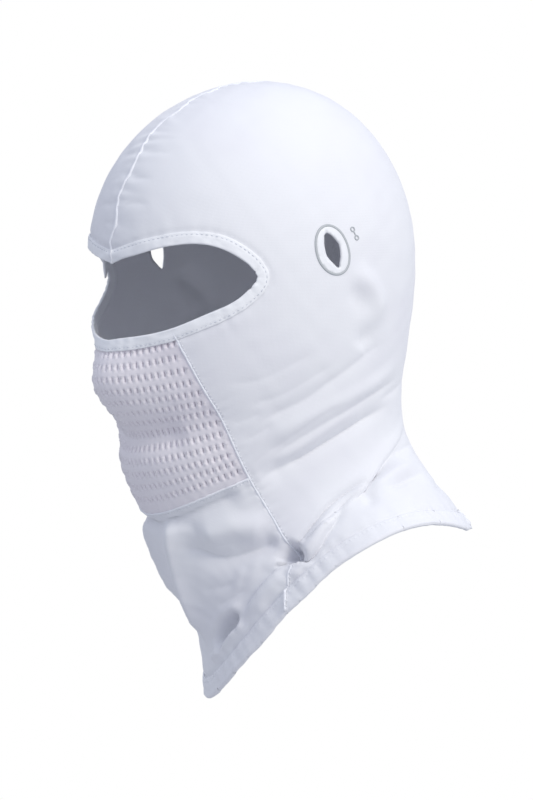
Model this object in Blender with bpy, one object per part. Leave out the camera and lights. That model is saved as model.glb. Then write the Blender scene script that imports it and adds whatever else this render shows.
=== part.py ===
"""A thin white ski balaclava, worn shape, as the pieces it is sewn from.

Metres, +Z up, face towards -Y, +X on the wearer's left.
The origin is the centre of the wearer's head, level with the temple ports.

Every piece lies on one worn surface. A place on it has two names:
    angle  degrees round the head, 0 at the face, 90 at the left ear, 180 at the nape
    level  height of its ring where the ring crosses the face line
The side pattern is the same surface laid flat from the ear, as a cutter would draw it:
    round  distance from the ear line towards the nape
    rise   distance up from the ear line
"""
import math

import bpy
from mathutils import Vector
from mathutils.geometry import delaunay_2d_cdt

# The head that the hood is worn on
CROWN = 0.100
HALF_BREADTH = 0.080
FOREHEAD = 0.097
BACK_OF_HEAD = 0.095
CROWN_SHIFT = 0.008
DOME_POWER = 2.1

# Rings from ear level down to the hem, each one: level, half width, side y, side z,
# face y, nape y, nape z, and how many degrees the body is turned to the right under the head
RINGS = (
    (0.000, 0.080, 0.000, 0.000, -0.097, 0.095, 0.000, 0.0),
    (-0.045, 0.076, 0.002, -0.042, -0.095, 0.093, -0.038, 0.0),
    (-0.090, 0.068, 0.008, -0.080, -0.085, 0.088, -0.068, -3.0),
    (-0.141, 0.062, 0.020, -0.114, -0.060, 0.093, -0.096, -10.0),
    (-0.180, 0.068, 0.032, -0.131, -0.041, 0.103, -0.116, -20.0),
    (-0.212, 0.078, 0.044, -0.144, -0.025, 0.117, -0.134, -28.0),
    (-0.244, 0.088, 0.055, -0.156, -0.020, 0.127, -0.150, -33.0),
)
HEM_LEVEL = RINGS[-1][0]
NECK_AXIS_Y = 0.030

# Soft swellings of a face under the cloth: angle, level, spread in degrees, spread up, height
SWELLINGS = (
    (0.0, -0.066, 11.0, 0.014, 0.012),
    (0.0, -0.090, 30.0, 0.010, -0.006),
    (0.0, -0.120, 24.0, 0.016, 0.002),
)

# Cloth, bands and threads
CLOTH = 0.0012
GAP = 0.0004
BINDING_WIDTH = 0.0072
BINDING_THICK = 0.0024
HEM_WIDTH = 0.0105
HEM_THICK = 0.0024
SEAM_WIDTH = 0.0026
SEAM_THICK = 0.0020
THREAD = 0.0006
JOIN_WIDTH = 0.0050
JOIN_THICK = 0.0012
FILM = 0.0005

# Temple port for the arm of a pair of spectacles
PORT_ANGLE = 85.0
PORT_LEVEL = 0.006
PORT_HALF_LENGTH = 0.0150
PORT_HALF_WIDTH = 0.0110
PORT_LEAN = math.radians(22.0)
PORT_RING_WIDTH = 0.0016
SLOT_HALF_LENGTH = 0.0103
SLOT_HALF_WIDTH = 0.0048
SYMBOL_RADIUS = 0.0016
SYMBOL_HOLE = 0.0009
SYMBOL_REACH = 0.0026
SYMBOL_BEHIND = 0.0178

# Blank care label inside the nape
LABEL_WIDTH = 0.016
LABEL_HEIGHT = 0.024
LABEL_LEVEL = -0.150

# Middle line of the eye binding, down the left half from the forehead to the nose
EYE_LINE = (
    (0.0, 0.0025), (14.0, 0.0075), (27.0, 0.0113), (38.0, 0.0126), (47.0, 0.0102),
    (54.5, 0.0038), (59.3, -0.0040), (60.2, -0.0100), (57.5, -0.0165), (52.0, -0.0235),
    (44.0, -0.0300), (29.0, -0.0385), (14.0, -0.0430), (0.0, -0.0450),
)
EYE_SEAM_KEY = 11
# Seam from the binding beside the nose, down past the jaw, to the hem
FRONT_LINE = (
    (29.0, -0.0385), (38.8, -0.0654), (47.5, -0.0898), (55.2, -0.1259),
    (60.2, -0.1493), (64.0, -0.1723), (66.5, -0.2010), (62.0, -0.2230), (60.0, HEM_LEVEL),
)
FRONT_CORNER_KEY = 3
# The seam under the mesh sags from the two jaw corners to the middle of the chin
CHIN_LEVEL = -0.1385
CHIN_POWER = 1.7

PATTERN_RADIUS = 0.085
CLOTH_GRID = 0.0115
TRIM_STEP = 0.0055
EDGE_STEP = 0.0070
EYE_STEP = 0.0042
SEAM_STEP = 0.0048

WHITE = (0.86, 0.87, 0.91)
MESH_GREY = (0.66, 0.63, 0.70)
FILM_WHITE = (0.92, 0.93, 0.95)
PRINT_GREY = (0.56, 0.58, 0.60)
THREAD_WHITE = (0.90, 0.91, 0.94)


def clear_scene():
    """Start from an empty scene."""
    for item in list(bpy.data.objects):
        bpy.data.objects.remove(item, do_unlink=True)


# ---------------------------------------------------------------- the worn surface

def ring_value(column, level):
    """One column of RINGS, eased smoothly between its rows."""
    rows = RINGS[::-1]
    levels = [row[0] for row in rows]
    values = [row[column] for row in rows]
    slopes = []
    for i in range(len(rows)):
        if i == 0:
            slopes.append((values[1] - values[0]) / (levels[1] - levels[0]))
        elif i == len(rows) - 1:
            slopes.append(1.0 if column in (3, 6) else 0.0)
        else:
            below = levels[i] - levels[i - 1]
            above = levels[i + 1] - levels[i]
            rate_below = (values[i] - values[i - 1]) / below
            rate_above = (values[i + 1] - values[i]) / above
            slopes.append((rate_below * above + rate_above * below) / (below + above))
    i = 0
    while i < len(rows) - 2 and level > levels[i + 1]:
        i += 1
    span = levels[i + 1] - levels[i]
    t = (level - levels[i]) / span
    return ((1 + 2 * t) * (1 - t) ** 2 * values[i] + t * (1 - t) ** 2 * span * slopes[i]
            + t * t * (3 - 2 * t) * values[i + 1] - t * t * (1 - t) * span * slopes[i + 1])


def worn_point(angle, level):
    """Middle of the cloth at an angle round the head and a level."""
    if level > 0.0:
        shrink = math.sqrt(max(0.0, 1.0 - min(1.0, level / CROWN) ** DOME_POWER))
        width = HALF_BREADTH * shrink
        side_y = CROWN_SHIFT * (1.0 - shrink)
        face_y = side_y - FOREHEAD * shrink
        nape_y = side_y + BACK_OF_HEAD * shrink
        side_z = level
        nape_z = level
        turn = 0.0
    else:
        width, side_y, side_z, face_y, nape_y, nape_z, turn = (
            ring_value(column, level) for column in range(1, 8))
    bearing = math.radians(angle)
    sine = math.sin(bearing)
    cosine = math.cos(bearing)
    x = width * sine
    ahead = side_y - face_y
    behind = nape_y - side_y
    y = side_y - (ahead + behind) / 2 * cosine - (ahead - behind) / 2 * cosine ** 2
    z = ((level + nape_z + 2 * side_z) / 4 + (level - nape_z) / 2 * cosine
         + (level + nape_z - 2 * side_z) / 4 * math.cos(2 * bearing))
    wrapped = (angle + 180.0) % 360.0 - 180.0
    for at_angle, at_level, spread, spread_up, height in SWELLINGS:
        push = height * math.exp(-((wrapped - at_angle) / spread) ** 2 / 2
                                 - ((level - at_level) / spread_up) ** 2 / 2)
        x += push * sine
        y -= push * cosine
    twist = math.radians(turn)
    y -= NECK_AXIS_Y
    return Vector((x * math.cos(twist) - y * math.sin(twist),
                   x * math.sin(twist) + y * math.cos(twist) + NECK_AXIS_Y, z))


def to_pattern(angle, level):
    """Flat side pattern place of an angle and a level."""
    if level <= 0.0:
        return Vector((PATTERN_RADIUS * math.radians(angle - 90.0), level))
    bearing = math.radians(angle)
    up = min(1.0, level / CROWN)
    out = math.sqrt(1.0 - up * up)
    reach = math.acos(max(-1.0, min(1.0, out * math.sin(bearing))))
    scale = PATTERN_RADIUS * (reach / math.sin(reach) if reach > 1e-6 else 1.0)
    return Vector((-out * math.cos(bearing) * scale, up * scale))


def from_pattern(place):
    """Angle and level of a place on the flat side pattern."""
    round_way, rise = place
    if rise <= 0.0:
        return 90.0 + math.degrees(round_way / PATTERN_RADIUS), rise
    reach = math.hypot(round_way, rise) / PATTERN_RADIUS
    part = math.sin(reach) / (reach * PATTERN_RADIUS)
    return math.degrees(math.atan2(math.cos(reach), -part * round_way)), CROWN * part * rise


def on_cloth(place, side=1, lift=0.0):
    """Point over a pattern place, on the left side (1) or the right (-1), lifted outwards."""
    angle, level = from_pattern(place)
    point = worn_point(side * angle, level)
    if lift:
        point = point + normal_at(place, side) * lift
    return point


def tangents_at(place, side=1):
    """How the point moves per metre round and per metre up the pattern."""
    step = 0.0004
    across = on_cloth(place + Vector((step, 0)), side) - on_cloth(place - Vector((step, 0)), side)
    upward = on_cloth(place + Vector((0, step)), side) - on_cloth(place - Vector((0, step)), side)
    return across / (2 * step), upward / (2 * step)


def normal_at(place, side=1):
    """Outward direction of the cloth."""
    across, upward = tangents_at(place, side)
    return across.cross(upward).normalized() * side


def slide(place, move, side=1):
    """Pattern place reached by moving along the cloth by a vector in space."""
    across, upward = tangents_at(place, side)
    aa = across.dot(across)
    au = across.dot(upward)
    uu = upward.dot(upward)
    ma = move.dot(across)
    mu = move.dot(upward)
    scale = aa * uu - au * au
    return place + Vector(((ma * uu - mu * au) / scale, (mu * aa - ma * au) / scale))


# ---------------------------------------------------------------- lines on the cloth

def smooth_line(keys, pieces=6):
    """Smooth run of angle and level points through a few keys."""
    line = []
    for i in range(len(keys) - 1):
        before = keys[max(0, i - 1)]
        start = keys[i]
        end = keys[i + 1]
        after = keys[min(len(keys) - 1, i + 2)]
        for j in range(pieces):
            t = j / pieces
            line.append(tuple(
                0.5 * (2 * start[k] + (end[k] - before[k]) * t
                       + (2 * before[k] - 5 * start[k] + 4 * end[k] - after[k]) * t * t
                       + (3 * start[k] - before[k] - 3 * end[k] + after[k]) * t ** 3)
                for k in (0, 1)))
    line.append(keys[-1])
    return line


def even_line(points, step, side=1, closed=False):
    """The same pattern line with points an even distance apart on the cloth."""
    ring = list(points) + [points[0]] if closed else list(points)
    lengths = [0.0]
    for a, b in zip(ring, ring[1:]):
        lengths.append(lengths[-1] + (on_cloth(b, side) - on_cloth(a, side)).length)
    count = max(2, round(lengths[-1] / step))
    line = []
    at = 0
    for i in range(count + 1):
        wanted = lengths[-1] * i / count
        while at < len(ring) - 2 and lengths[at + 1] < wanted:
            at += 1
        part = (wanted - lengths[at]) / max(1e-9, lengths[at + 1] - lengths[at])
        line.append(ring[at].lerp(ring[at + 1], min(1.0, part)))
    return line[:-1] if closed else line


def trimmed(points, at_start, at_end, side=1):
    """The line shortened by a distance on the cloth at each end."""
    fine = even_line(points, 0.0005, side)
    first = round(at_start / 0.0005)
    last = len(fine) - round(at_end / 0.0005)
    return fine[first:last]


def shifted(points, distance, side=1, closed=False):
    """The line moved sideways along the cloth, to the left of its direction for a plus."""
    count = len(points)
    line = []
    for i, place in enumerate(points):
        before = points[i - 1] if closed or i > 0 else place
        after = points[(i + 1) % count] if closed or i < count - 1 else place
        along = on_cloth(after, side) - on_cloth(before, side)
        sideways = normal_at(place, side).cross(along).normalized()
        line.append(slide(place, sideways * distance, side))
    return line


def hem_top(angle):
    """Level of the hem band's upper edge at an angle."""
    level = HEM_LEVEL
    length = 0.0
    point = worn_point(angle, level)
    while length < HEM_WIDTH:
        level += 0.0005
        following = worn_point(angle, level)
        length += (following - point).length
        point = following
    return level


def pattern_line(points):
    """Pattern places of angle and level points."""
    return [to_pattern(angle, level) for angle, level in points]


def mirrored(points):
    """The same angle and level points on the wearer's right."""
    return [(-angle, level) for angle, level in points]


def eye_upper():
    """Eye line from the forehead to where the front seam starts, round the outer corner."""
    return smooth_line(EYE_LINE)[:EYE_SEAM_KEY * 6 + 1]


def eye_lower():
    """Eye line from the front seam to the middle of the nose."""
    return smooth_line(EYE_LINE)[EYE_SEAM_KEY * 6:]


def front_upper():
    """Front seam from the binding to the jaw corner."""
    return smooth_line(FRONT_LINE)[:FRONT_CORNER_KEY * 6 + 1]


def front_lower(side=1):
    """Front seam from the jaw corner to the top of the hem band, which differs left and right."""
    line = []
    for angle, level in smooth_line(FRONT_LINE)[FRONT_CORNER_KEY * 6:]:
        top = hem_top(side * angle)
        if level <= top:
            line.append((angle, top))
            break
        line.append((angle, level))
    return line


def chin_line():
    """Seam under the mesh, from the left jaw corner to the right one."""
    corner_angle, corner_level = FRONT_LINE[FRONT_CORNER_KEY]
    line = []
    for i in range(37):
        part = 1.0 - 2.0 * i / 36
        level = CHIN_LEVEL + (corner_level - CHIN_LEVEL) * abs(part) ** CHIN_POWER
        line.append((corner_angle * part, level))
    return line


def centre_line():
    """Centre seam from the forehead binding over the crown to the nape hem."""
    line = []
    start = EYE_LINE[0][1]
    for i in range(31):
        climb = math.asin(start / CROWN) + (math.pi / 2 - math.asin(start / CROWN)) * i / 30
        line.append((0.0, CROWN * math.sin(climb)))
    for i in range(1, 31):
        line.append((180.0, CROWN * math.cos(math.pi / 2 * i / 30)))
    bottom = hem_top(180.0)
    for i in range(1, 31):
        line.append((180.0, bottom * i / 30))
    return line


def hem_line(start, end, side=1):
    """Top of the hem band between two angles counted towards one side."""
    count = max(4, round(abs(end - start) / 4.0))
    angles = [start + (end - start) * i / count for i in range(count + 1)]
    return [(angle, hem_top(side * angle)) for angle in angles]


# ---------------------------------------------------------------- meshes

def finish(item, colour, roughness):
    """Give an object its own material."""
    material = bpy.data.materials.new(item.name)
    material.use_nodes = True
    shader = material.node_tree.nodes["Principled BSDF"]
    shader.inputs["Base Color"].default_value = (*colour, 1.0)
    shader.inputs["Roughness"].default_value = roughness
    shader.inputs["Metallic"].default_value = 0.0
    item.data.materials.append(material)


def add_object(name, points, faces, colour, roughness=0.9):
    """New mesh object under the hood's empty."""
    mesh = bpy.data.meshes.new(name)
    mesh.from_pydata([tuple(point) for point in points], [], faces)
    mesh.validate()
    item = bpy.data.objects.new(name, mesh)
    bpy.context.scene.collection.objects.link(item)
    item.parent = bpy.data.objects["balaclava"]
    finish(item, colour, roughness)
    return item


def thicken(item, thickness):
    """Give a sheet its thickness, half to each side."""
    modifier = item.modifiers.new("cloth thickness", "SOLIDIFY")
    modifier.thickness = thickness
    modifier.offset = 0.0
    modifier.use_even_offset = True


def inset_loop(sections, side=1):
    """Closed pattern loop moved inwards, each section by its own distance.

    sections is a list of (points, distance, step); each starts where the one before ended.
    """
    places = []
    margins = []
    for points, distance, step in sections:
        line = even_line(points, step, side)
        places.extend(line[:-1])
        margins.extend([distance] * (len(line) - 1))
    count = len(places)
    area = sum(places[i - 1].x * places[i].y - places[i].x * places[i - 1].y for i in range(count))
    inward = 1.0 if area > 0 else -1.0
    loop = []
    for i, place in enumerate(places):
        here = on_cloth(place, side)
        normal = normal_at(place, side) * inward * side
        along_before = (here - on_cloth(places[i - 1], side)).normalized()
        along_after = (on_cloth(places[(i + 1) % count], side) - here).normalized()
        in_before = normal.cross(along_before)
        in_after = normal.cross(along_after)
        mixed = in_before.dot(in_after)
        scale = 1.0 - mixed * mixed
        if scale < 0.02:
            move = (in_before + in_after).normalized() * max(margins[i - 1], margins[i])
        else:
            weight_before = (margins[i - 1] - margins[i] * mixed) / scale
            weight_after = (margins[i] - margins[i - 1] * mixed) / scale
            move = in_before * weight_before + in_after * weight_after
        loop.append(slide(place, move, side))
    return loop


def is_inside(place, loop):
    """Whether a pattern place is inside a closed loop."""
    inside = False
    for a, b in zip(loop, loop[1:] + loop[:1]):
        if (a.y > place.y) != (b.y > place.y):
            if place.x < a.x + (b.x - a.x) * (place.y - a.y) / (b.y - a.y):
                inside = not inside
    return inside


def loop_distance(place, loop):
    """Shortest pattern distance to a closed loop."""
    best = 1.0
    for a, b in zip(loop, loop[1:] + loop[:1]):
        edge = b - a
        part = max(0.0, min(1.0, (place - a).dot(edge) / max(1e-12, edge.length_squared)))
        best = min(best, (place - a - edge * part).length)
    return best


def grid_inside(loops, step):
    """Staggered grid of places inside the first loop and outside the others."""
    outline = loops[0]
    low_x = min(place.x for place in outline)
    low_y = min(place.y for place in outline)
    columns = int((max(place.x for place in outline) - low_x) / step) + 2
    rows = int((max(place.y for place in outline) - low_y) / (step * 0.866)) + 2
    found = []
    for row in range(rows):
        for column in range(columns):
            place = Vector((low_x + (column + 0.5 * (row % 2)) * step, low_y + row * step * 0.866))
            if not is_inside(place, outline) or any(is_inside(place, hole) for hole in loops[1:]):
                continue
            if min(loop_distance(place, loop) for loop in loops) > 0.55 * step:
                found.append(place)
    return found


def cut_cloth(name, loops, step, thickness, colour, side=1, lift=0.0, roughness=0.9):
    """Sheet of cloth inside the first pattern loop, with the other loops as holes."""
    places = []
    edges = []
    for loop in loops:
        start = len(places)
        places.extend(loop)
        edges.extend((start + i, start + (i + 1) % len(loop)) for i in range(len(loop)))
    places.extend(grid_inside(loops, step))
    found, _, faces, _, _, _ = delaunay_2d_cdt(places, edges, [], 1, 1e-7)
    kept = []
    for face in faces:
        middle = (found[face[0]] + found[face[1]] + found[face[2]]) / 3
        if is_inside(middle, loops[0]) and not any(is_inside(middle, hole) for hole in loops[1:]):
            kept.append(tuple(face) if side > 0 else tuple(reversed(face)))
    item = add_object(name, [on_cloth(place, side, lift) for place in found], kept, colour, roughness)
    thicken(item, thickness)
    return item


def band(name, line, width, thickness, colour, side=1, lift=0.0, closed=False, round_off=0.35,
         roughness=0.9):
    """Solid ribbon along a pattern line, with softened long edges."""
    count = len(line)
    cut = min(width, thickness) * round_off
    half = width / 2
    deep = thickness / 2
    if cut > 0.0:
        outline = ((-half, -deep + cut), (-half, deep - cut), (-half + cut, deep), (half - cut, deep),
                   (half, deep - cut), (half, -deep + cut), (half - cut, -deep), (-half + cut, -deep))
    else:
        outline = ((-half, -deep), (-half, deep), (half, deep), (half, -deep))
    points = []
    for i, place in enumerate(line):
        before = line[i - 1] if closed or i > 0 else place
        after = line[(i + 1) % count] if closed or i < count - 1 else place
        along = on_cloth(after, side) - on_cloth(before, side)
        normal = normal_at(place, side)
        sideways = normal.cross(along).normalized()
        centre = on_cloth(place, side, lift)
        points.extend(centre + sideways * across + normal * up for across, up in outline)
    size = len(outline)
    faces = []
    for i in range(count if closed else count - 1):
        here = i * size
        there = (i + 1) % count * size
        for j in range(size):
            k = (j + 1) % size
            faces.append((here + j, there + j, there + k, here + k))
    if not closed:
        faces.append(tuple(range(size)))
        faces.append(tuple(reversed(range((count - 1) * size, count * size))))
    return add_object(name, points, faces, colour, roughness)


def thread(name, line, side=1, lift=0.0, closed=False, step=2 * TRIM_STEP):
    """One run of sewing thread lying on a seam."""
    return band(name, even_line(line, step, side, closed), THREAD, THREAD, THREAD_WHITE,
                side, lift + THREAD / 2, closed, 0.0)


# ---------------------------------------------------------------- pieces

def make_side_panel(name, side):
    """Half of the hood, from the centre seam to the eye, the mesh and the neck panel."""
    seam = SEAM_WIDTH / 2 + GAP
    binding = BINDING_WIDTH / 2 + GAP
    centre = pattern_line(centre_line())
    hem = pattern_line(hem_line(180.0, front_lower(side)[-1][0], side))
    front = pattern_line(front_lower(side))[::-1] + pattern_line(front_upper())[::-1][1:]
    eye = pattern_line(eye_upper())[::-1]
    outline = inset_loop([(centre, seam, EDGE_STEP), (hem, GAP, EDGE_STEP),
                          (front, seam, SEAM_STEP), (eye, binding, EYE_STEP)], side)
    slot = oval(SLOT_HALF_WIDTH, SLOT_HALF_LENGTH, 20, side)
    return cut_cloth(name, [outline, slot], CLOTH_GRID, CLOTH, WHITE, side)


def make_mesh_panel():
    """Air mesh over the nose and mouth."""
    seam = SEAM_WIDTH / 2 + GAP
    binding = BINDING_WIDTH / 2 + GAP
    left = pattern_line(front_upper())
    chin = pattern_line(chin_line())
    right = pattern_line(mirrored(front_upper()))[::-1]
    eye = pattern_line(mirrored(eye_lower()) + eye_lower()[::-1][1:])
    outline = inset_loop([(left, seam, SEAM_STEP), (chin, seam, SEAM_STEP),
                          (right, seam, SEAM_STEP), (eye, binding, EYE_STEP)])
    return cut_cloth("mesh_face_panel", [outline], CLOTH_GRID, CLOTH, MESH_GREY)


def make_neck_panel():
    """Front of the neck, under the mesh."""
    seam = SEAM_WIDTH / 2 + GAP
    left = pattern_line(front_lower())
    hem = pattern_line(hem_line(front_lower(1)[-1][0], -front_lower(-1)[-1][0]))
    right = pattern_line(mirrored(front_lower(-1)))[::-1]
    chin = pattern_line(chin_line())[::-1]
    outline = inset_loop([(left, seam, SEAM_STEP), (hem, GAP, EDGE_STEP),
                          (right, seam, SEAM_STEP), (chin, seam, SEAM_STEP)])
    return cut_cloth("front_neck_panel", [outline], CLOTH_GRID, CLOTH, WHITE)


def eye_loop():
    """Whole middle line of the eye binding."""
    left = smooth_line(EYE_LINE)
    return even_line(pattern_line(left + mirrored(left)[::-1][1:-1]), EYE_STEP, 1, True)


def make_eye_binding():
    """Folded strip round the eye opening, its stitching, and the join over the forehead."""
    loop = eye_loop()
    band("eye_binding", loop, BINDING_WIDTH, BINDING_THICK, WHITE, closed=True)
    on_top = BINDING_THICK / 2 + GAP
    outer = shifted(loop, 0.30 * BINDING_WIDTH, 1, True)
    thread("eye_binding_stitching", outer, 1, on_top, True, EYE_STEP)
    start = EYE_LINE[0][1]
    reach = 0.42 * BINDING_WIDTH
    across = [to_pattern(0.0, start - reach), to_pattern(0.0, start), to_pattern(0.0, start + reach)]
    lift = on_top + JOIN_THICK / 2 + THREAD + GAP
    band("eye_binding_join", across, JOIN_WIDTH, JOIN_THICK, WHITE, lift=lift)


def make_hem():
    """Hem band round the neck, its stitching, and its join at the nape."""
    low = HEM_LEVEL + 0.0002
    rows = 3
    count = 84
    points = []
    for i in range(count):
        angle = 360.0 * i / count - 180.0
        top = hem_top(angle)
        points.extend(worn_point(angle, low + (top - low) * row / rows) for row in range(rows + 1))
    size = rows + 1
    faces = []
    for i in range(count):
        here = i * size
        there = (i + 1) % count * size
        faces.extend((here + row, there + row, there + row + 1, here + row + 1) for row in range(rows))
    item = add_object("hem_band", points, faces, WHITE)
    thicken(item, HEM_THICK)
    on_top = HEM_THICK / 2 + GAP
    line = [to_pattern(angle, hem_top(angle)) for angle in range(-180, 180, 4)]
    thread("hem_stitching", shifted(line, -0.2 * HEM_WIDTH, 1, True), 1, on_top, True)
    bottom = HEM_LEVEL + 0.004
    top = hem_top(180.0) - 0.002
    across = [to_pattern(180.0, bottom + (top - bottom) * i / 3) for i in range(4)]
    lift = on_top + THREAD + GAP + JOIN_THICK / 2
    band("hem_join", across, JOIN_WIDTH, JOIN_THICK, WHITE, lift=lift)


def make_seam(name, line, at_start, at_end, side=1):
    """Flat seam along a line, with a run of thread on it."""
    whole = even_line(trimmed(line, at_start, at_end, side), TRIM_STEP, side)
    band(name, whole, SEAM_WIDTH, SEAM_THICK, WHITE, side)
    stem, _, hand = name.rpartition("_")
    stitches = stem + "_stitching_" + hand if hand in ("left", "right") else name + "_stitching"
    thread(stitches, trimmed(whole, 0.001, 0.001, side), side, SEAM_THICK / 2 + GAP)


def make_seams():
    """Centre seam, seam under the mesh, and the two front seams."""
    binding_end = BINDING_WIDTH / 2 + GAP
    make_seam("centre_seam", pattern_line(centre_line()), binding_end + 0.0015, 0.0015)
    corner = SEAM_WIDTH / 2 + 2 * GAP
    make_seam("mesh_bottom_seam", pattern_line(chin_line()), corner, corner)
    for hand, side in (("left", 1), ("right", -1)):
        whole = pattern_line(front_upper() + front_lower(side)[1:])
        make_seam("front_seam_" + hand, whole, binding_end + GAP, 0.0024, side)


def oval(half_width, half_length, count, side, behind=0.0):
    """Oval pattern loop about the temple port, its top leaning towards the face."""
    centre = to_pattern(PORT_ANGLE, PORT_LEVEL)
    across, upward = tangents_at(centre, side)
    across = across.normalized()
    normal = across.cross(upward).normalized()
    upward = normal.cross(across)
    wide = across * math.cos(PORT_LEAN) + upward * math.sin(PORT_LEAN)
    long = upward * math.cos(PORT_LEAN) - across * math.sin(PORT_LEAN)
    loop = []
    for i in range(count):
        turn = 2 * math.pi * i / count
        move = wide * (half_width * math.cos(turn) + behind) + long * (half_length * math.sin(turn))
        loop.append(slide(centre, move, side))
    return loop


def make_port(hand, side):
    """Bonded film with a slot, printed ring and small two-ring symbol at one temple."""
    on_top = CLOTH / 2 + GAP + FILM / 2
    edge = PORT_RING_WIDTH + GAP
    rim = oval(PORT_HALF_WIDTH - edge, PORT_HALF_LENGTH - edge, 24, side)
    slot = oval(SLOT_HALF_WIDTH, SLOT_HALF_LENGTH, 20, side)
    cut_cloth("port_patch_" + hand, [rim, slot], 0.005, FILM, FILM_WHITE, side, on_top, 0.35)
    middle = PORT_RING_WIDTH / 2
    ring = oval(PORT_HALF_WIDTH - middle, PORT_HALF_LENGTH - middle, 32, side)
    band("port_ring_" + hand, ring, PORT_RING_WIDTH, FILM, PRINT_GREY, side, on_top, True, 0.2, 0.4)
    make_symbol("port_symbol_" + hand, side, on_top)


def make_symbol(name, side, lift):
    """Two small rings joined by a bar, printed behind the port."""
    half_bar = math.radians(22.0)
    outline = []
    for end in (1, -1):
        for i in range(13):
            turn = -math.pi + half_bar + (2 * math.pi - 2 * half_bar) * i / 12
            outline.append((end * (SYMBOL_REACH + SYMBOL_RADIUS * math.cos(turn)),
                            end * SYMBOL_RADIUS * math.sin(turn)))
    holes = []
    for end in (1, -1):
        holes.append([(end * SYMBOL_REACH + SYMBOL_HOLE * math.cos(math.pi * i / 6),
                       SYMBOL_HOLE * math.sin(math.pi * i / 6)) for i in range(12)])
    centre = to_pattern(PORT_ANGLE, PORT_LEVEL)
    across, upward = tangents_at(centre, side)
    across = across.normalized()
    upward = across.cross(upward).normalized().cross(across)
    wide = across * math.cos(PORT_LEAN) + upward * math.sin(PORT_LEAN)
    long = upward * math.cos(PORT_LEAN) - across * math.sin(PORT_LEAN)
    loops = []
    for flat in [outline] + holes:
        loops.append([slide(centre, wide * (SYMBOL_BEHIND - 0.15 * a) + long * (a + 0.003) + wide * b, side)
                      for a, b in flat])
    cut_cloth(name, loops, 0.02, FILM, PRINT_GREY, side, lift, 0.4)


def make_label():
    """Blank care label inside the nape, beside the centre seam."""
    line = [to_pattern(166.0, LABEL_LEVEL + LABEL_HEIGHT * (i / 4 - 0.5)) for i in range(5)]
    band("care_label", line, LABEL_WIDTH, FILM, WHITE, lift=-(SEAM_THICK / 2 + GAP + FILM), round_off=0.2)


def build():
    """Make every piece of the hood."""
    clear_scene()
    hood = bpy.data.objects.new("balaclava", None)
    bpy.context.scene.collection.objects.link(hood)
    make_side_panel("left_side_panel", 1)
    make_side_panel("right_side_panel", -1)
    make_mesh_panel()
    make_neck_panel()
    make_eye_binding()
    make_hem()
    make_seams()
    make_port("left", 1)
    make_port("right", -1)
    make_label()


build()
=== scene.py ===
"""The looks of a thin white ski balaclava, worn on an unseen head.

Metres, +Z up, face towards -Y, +X on the wearer's left, as in the CAD.
Every piece of cloth lies on one worn surface. A place on it has two names:
    angle and level  degrees round the head (0 face, 90 left ear, 180 nape) and ring height
    pattern place    the same surface laid flat from the ear, as a cutter would draw it
"""
import math

import bpy
import numpy as np
from mathutils import Matrix, Vector
from mathutils.geometry import delaunay_2d_cdt


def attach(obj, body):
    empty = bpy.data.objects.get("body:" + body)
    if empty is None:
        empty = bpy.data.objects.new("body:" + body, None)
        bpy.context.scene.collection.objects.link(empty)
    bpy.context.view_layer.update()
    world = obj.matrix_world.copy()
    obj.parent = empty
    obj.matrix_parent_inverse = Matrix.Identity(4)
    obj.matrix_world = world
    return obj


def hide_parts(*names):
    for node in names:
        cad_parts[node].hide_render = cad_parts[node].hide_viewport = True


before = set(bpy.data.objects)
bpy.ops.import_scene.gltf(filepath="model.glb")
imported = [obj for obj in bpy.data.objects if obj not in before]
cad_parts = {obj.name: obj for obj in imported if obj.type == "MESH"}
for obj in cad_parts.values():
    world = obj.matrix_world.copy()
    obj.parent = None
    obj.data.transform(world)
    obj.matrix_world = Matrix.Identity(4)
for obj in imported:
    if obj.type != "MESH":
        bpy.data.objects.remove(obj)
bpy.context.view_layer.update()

BODY = "root"
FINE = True

# ---------------------------------------------------------------- sizes, as in the CAD
CROWN = 0.100
HALF_BREADTH = 0.080
FOREHEAD = 0.097
BACK_OF_HEAD = 0.095
CROWN_SHIFT = 0.008
DOME_POWER = 2.1
PATTERN_RADIUS = 0.085
NECK_AXIS_Y = 0.030
# level, half width, side y, side z, face y, nape y, nape z, turn in degrees
RINGS = np.array((
    (0.000, 0.080, 0.000, 0.000, -0.097, 0.095, 0.000, 0.0),
    (-0.045, 0.076, 0.002, -0.042, -0.095, 0.093, -0.038, 0.0),
    (-0.090, 0.068, 0.008, -0.080, -0.085, 0.088, -0.068, -3.0),
    (-0.141, 0.062, 0.020, -0.114, -0.060, 0.093, -0.096, -10.0),
    (-0.180, 0.068, 0.032, -0.131, -0.041, 0.103, -0.116, -20.0),
    (-0.212, 0.078, 0.044, -0.144, -0.025, 0.117, -0.134, -28.0),
    (-0.244, 0.088, 0.055, -0.156, -0.020, 0.127, -0.150, -33.0),
))[::-1]
HEM_LEVEL = RINGS[0][0]
# angle, level, spread in degrees, spread up, height of a soft swelling
SWELLINGS = (
    (0.0, -0.066, 11.0, 0.014, 0.012),
    (0.0, -0.090, 30.0, 0.010, -0.006),
    (0.0, -0.120, 24.0, 0.016, 0.002),
)

CLOTH = 0.0008
BINDING_WIDTH = 0.0066
HEM_WIDTH = 0.0105
HEM_CLIMB = 0.0021
SEAM_WIDTH = 0.0019

PORT_ANGLE = 85.0
PORT_LEVEL = 0.006
PORT_HALF_LENGTH = 0.0150
PORT_HALF_WIDTH = 0.0110
PORT_LEAN = math.radians(22.0)
PORT_RING_WIDTH = 0.0016
SLOT_HALF_LENGTH = 0.0103
SLOT_HALF_WIDTH = 0.0048
SYMBOL_RADIUS = 0.0016
SYMBOL_HOLE = 0.0009
SYMBOL_REACH = 0.0026
SYMBOL_BEHIND = 0.0178
LABEL_WIDTH = 0.016
LABEL_HEIGHT = 0.024
LABEL_LEVEL = -0.150
LABEL_ANGLE = 166.0
STITCH_PITCH = 0.0027

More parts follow.
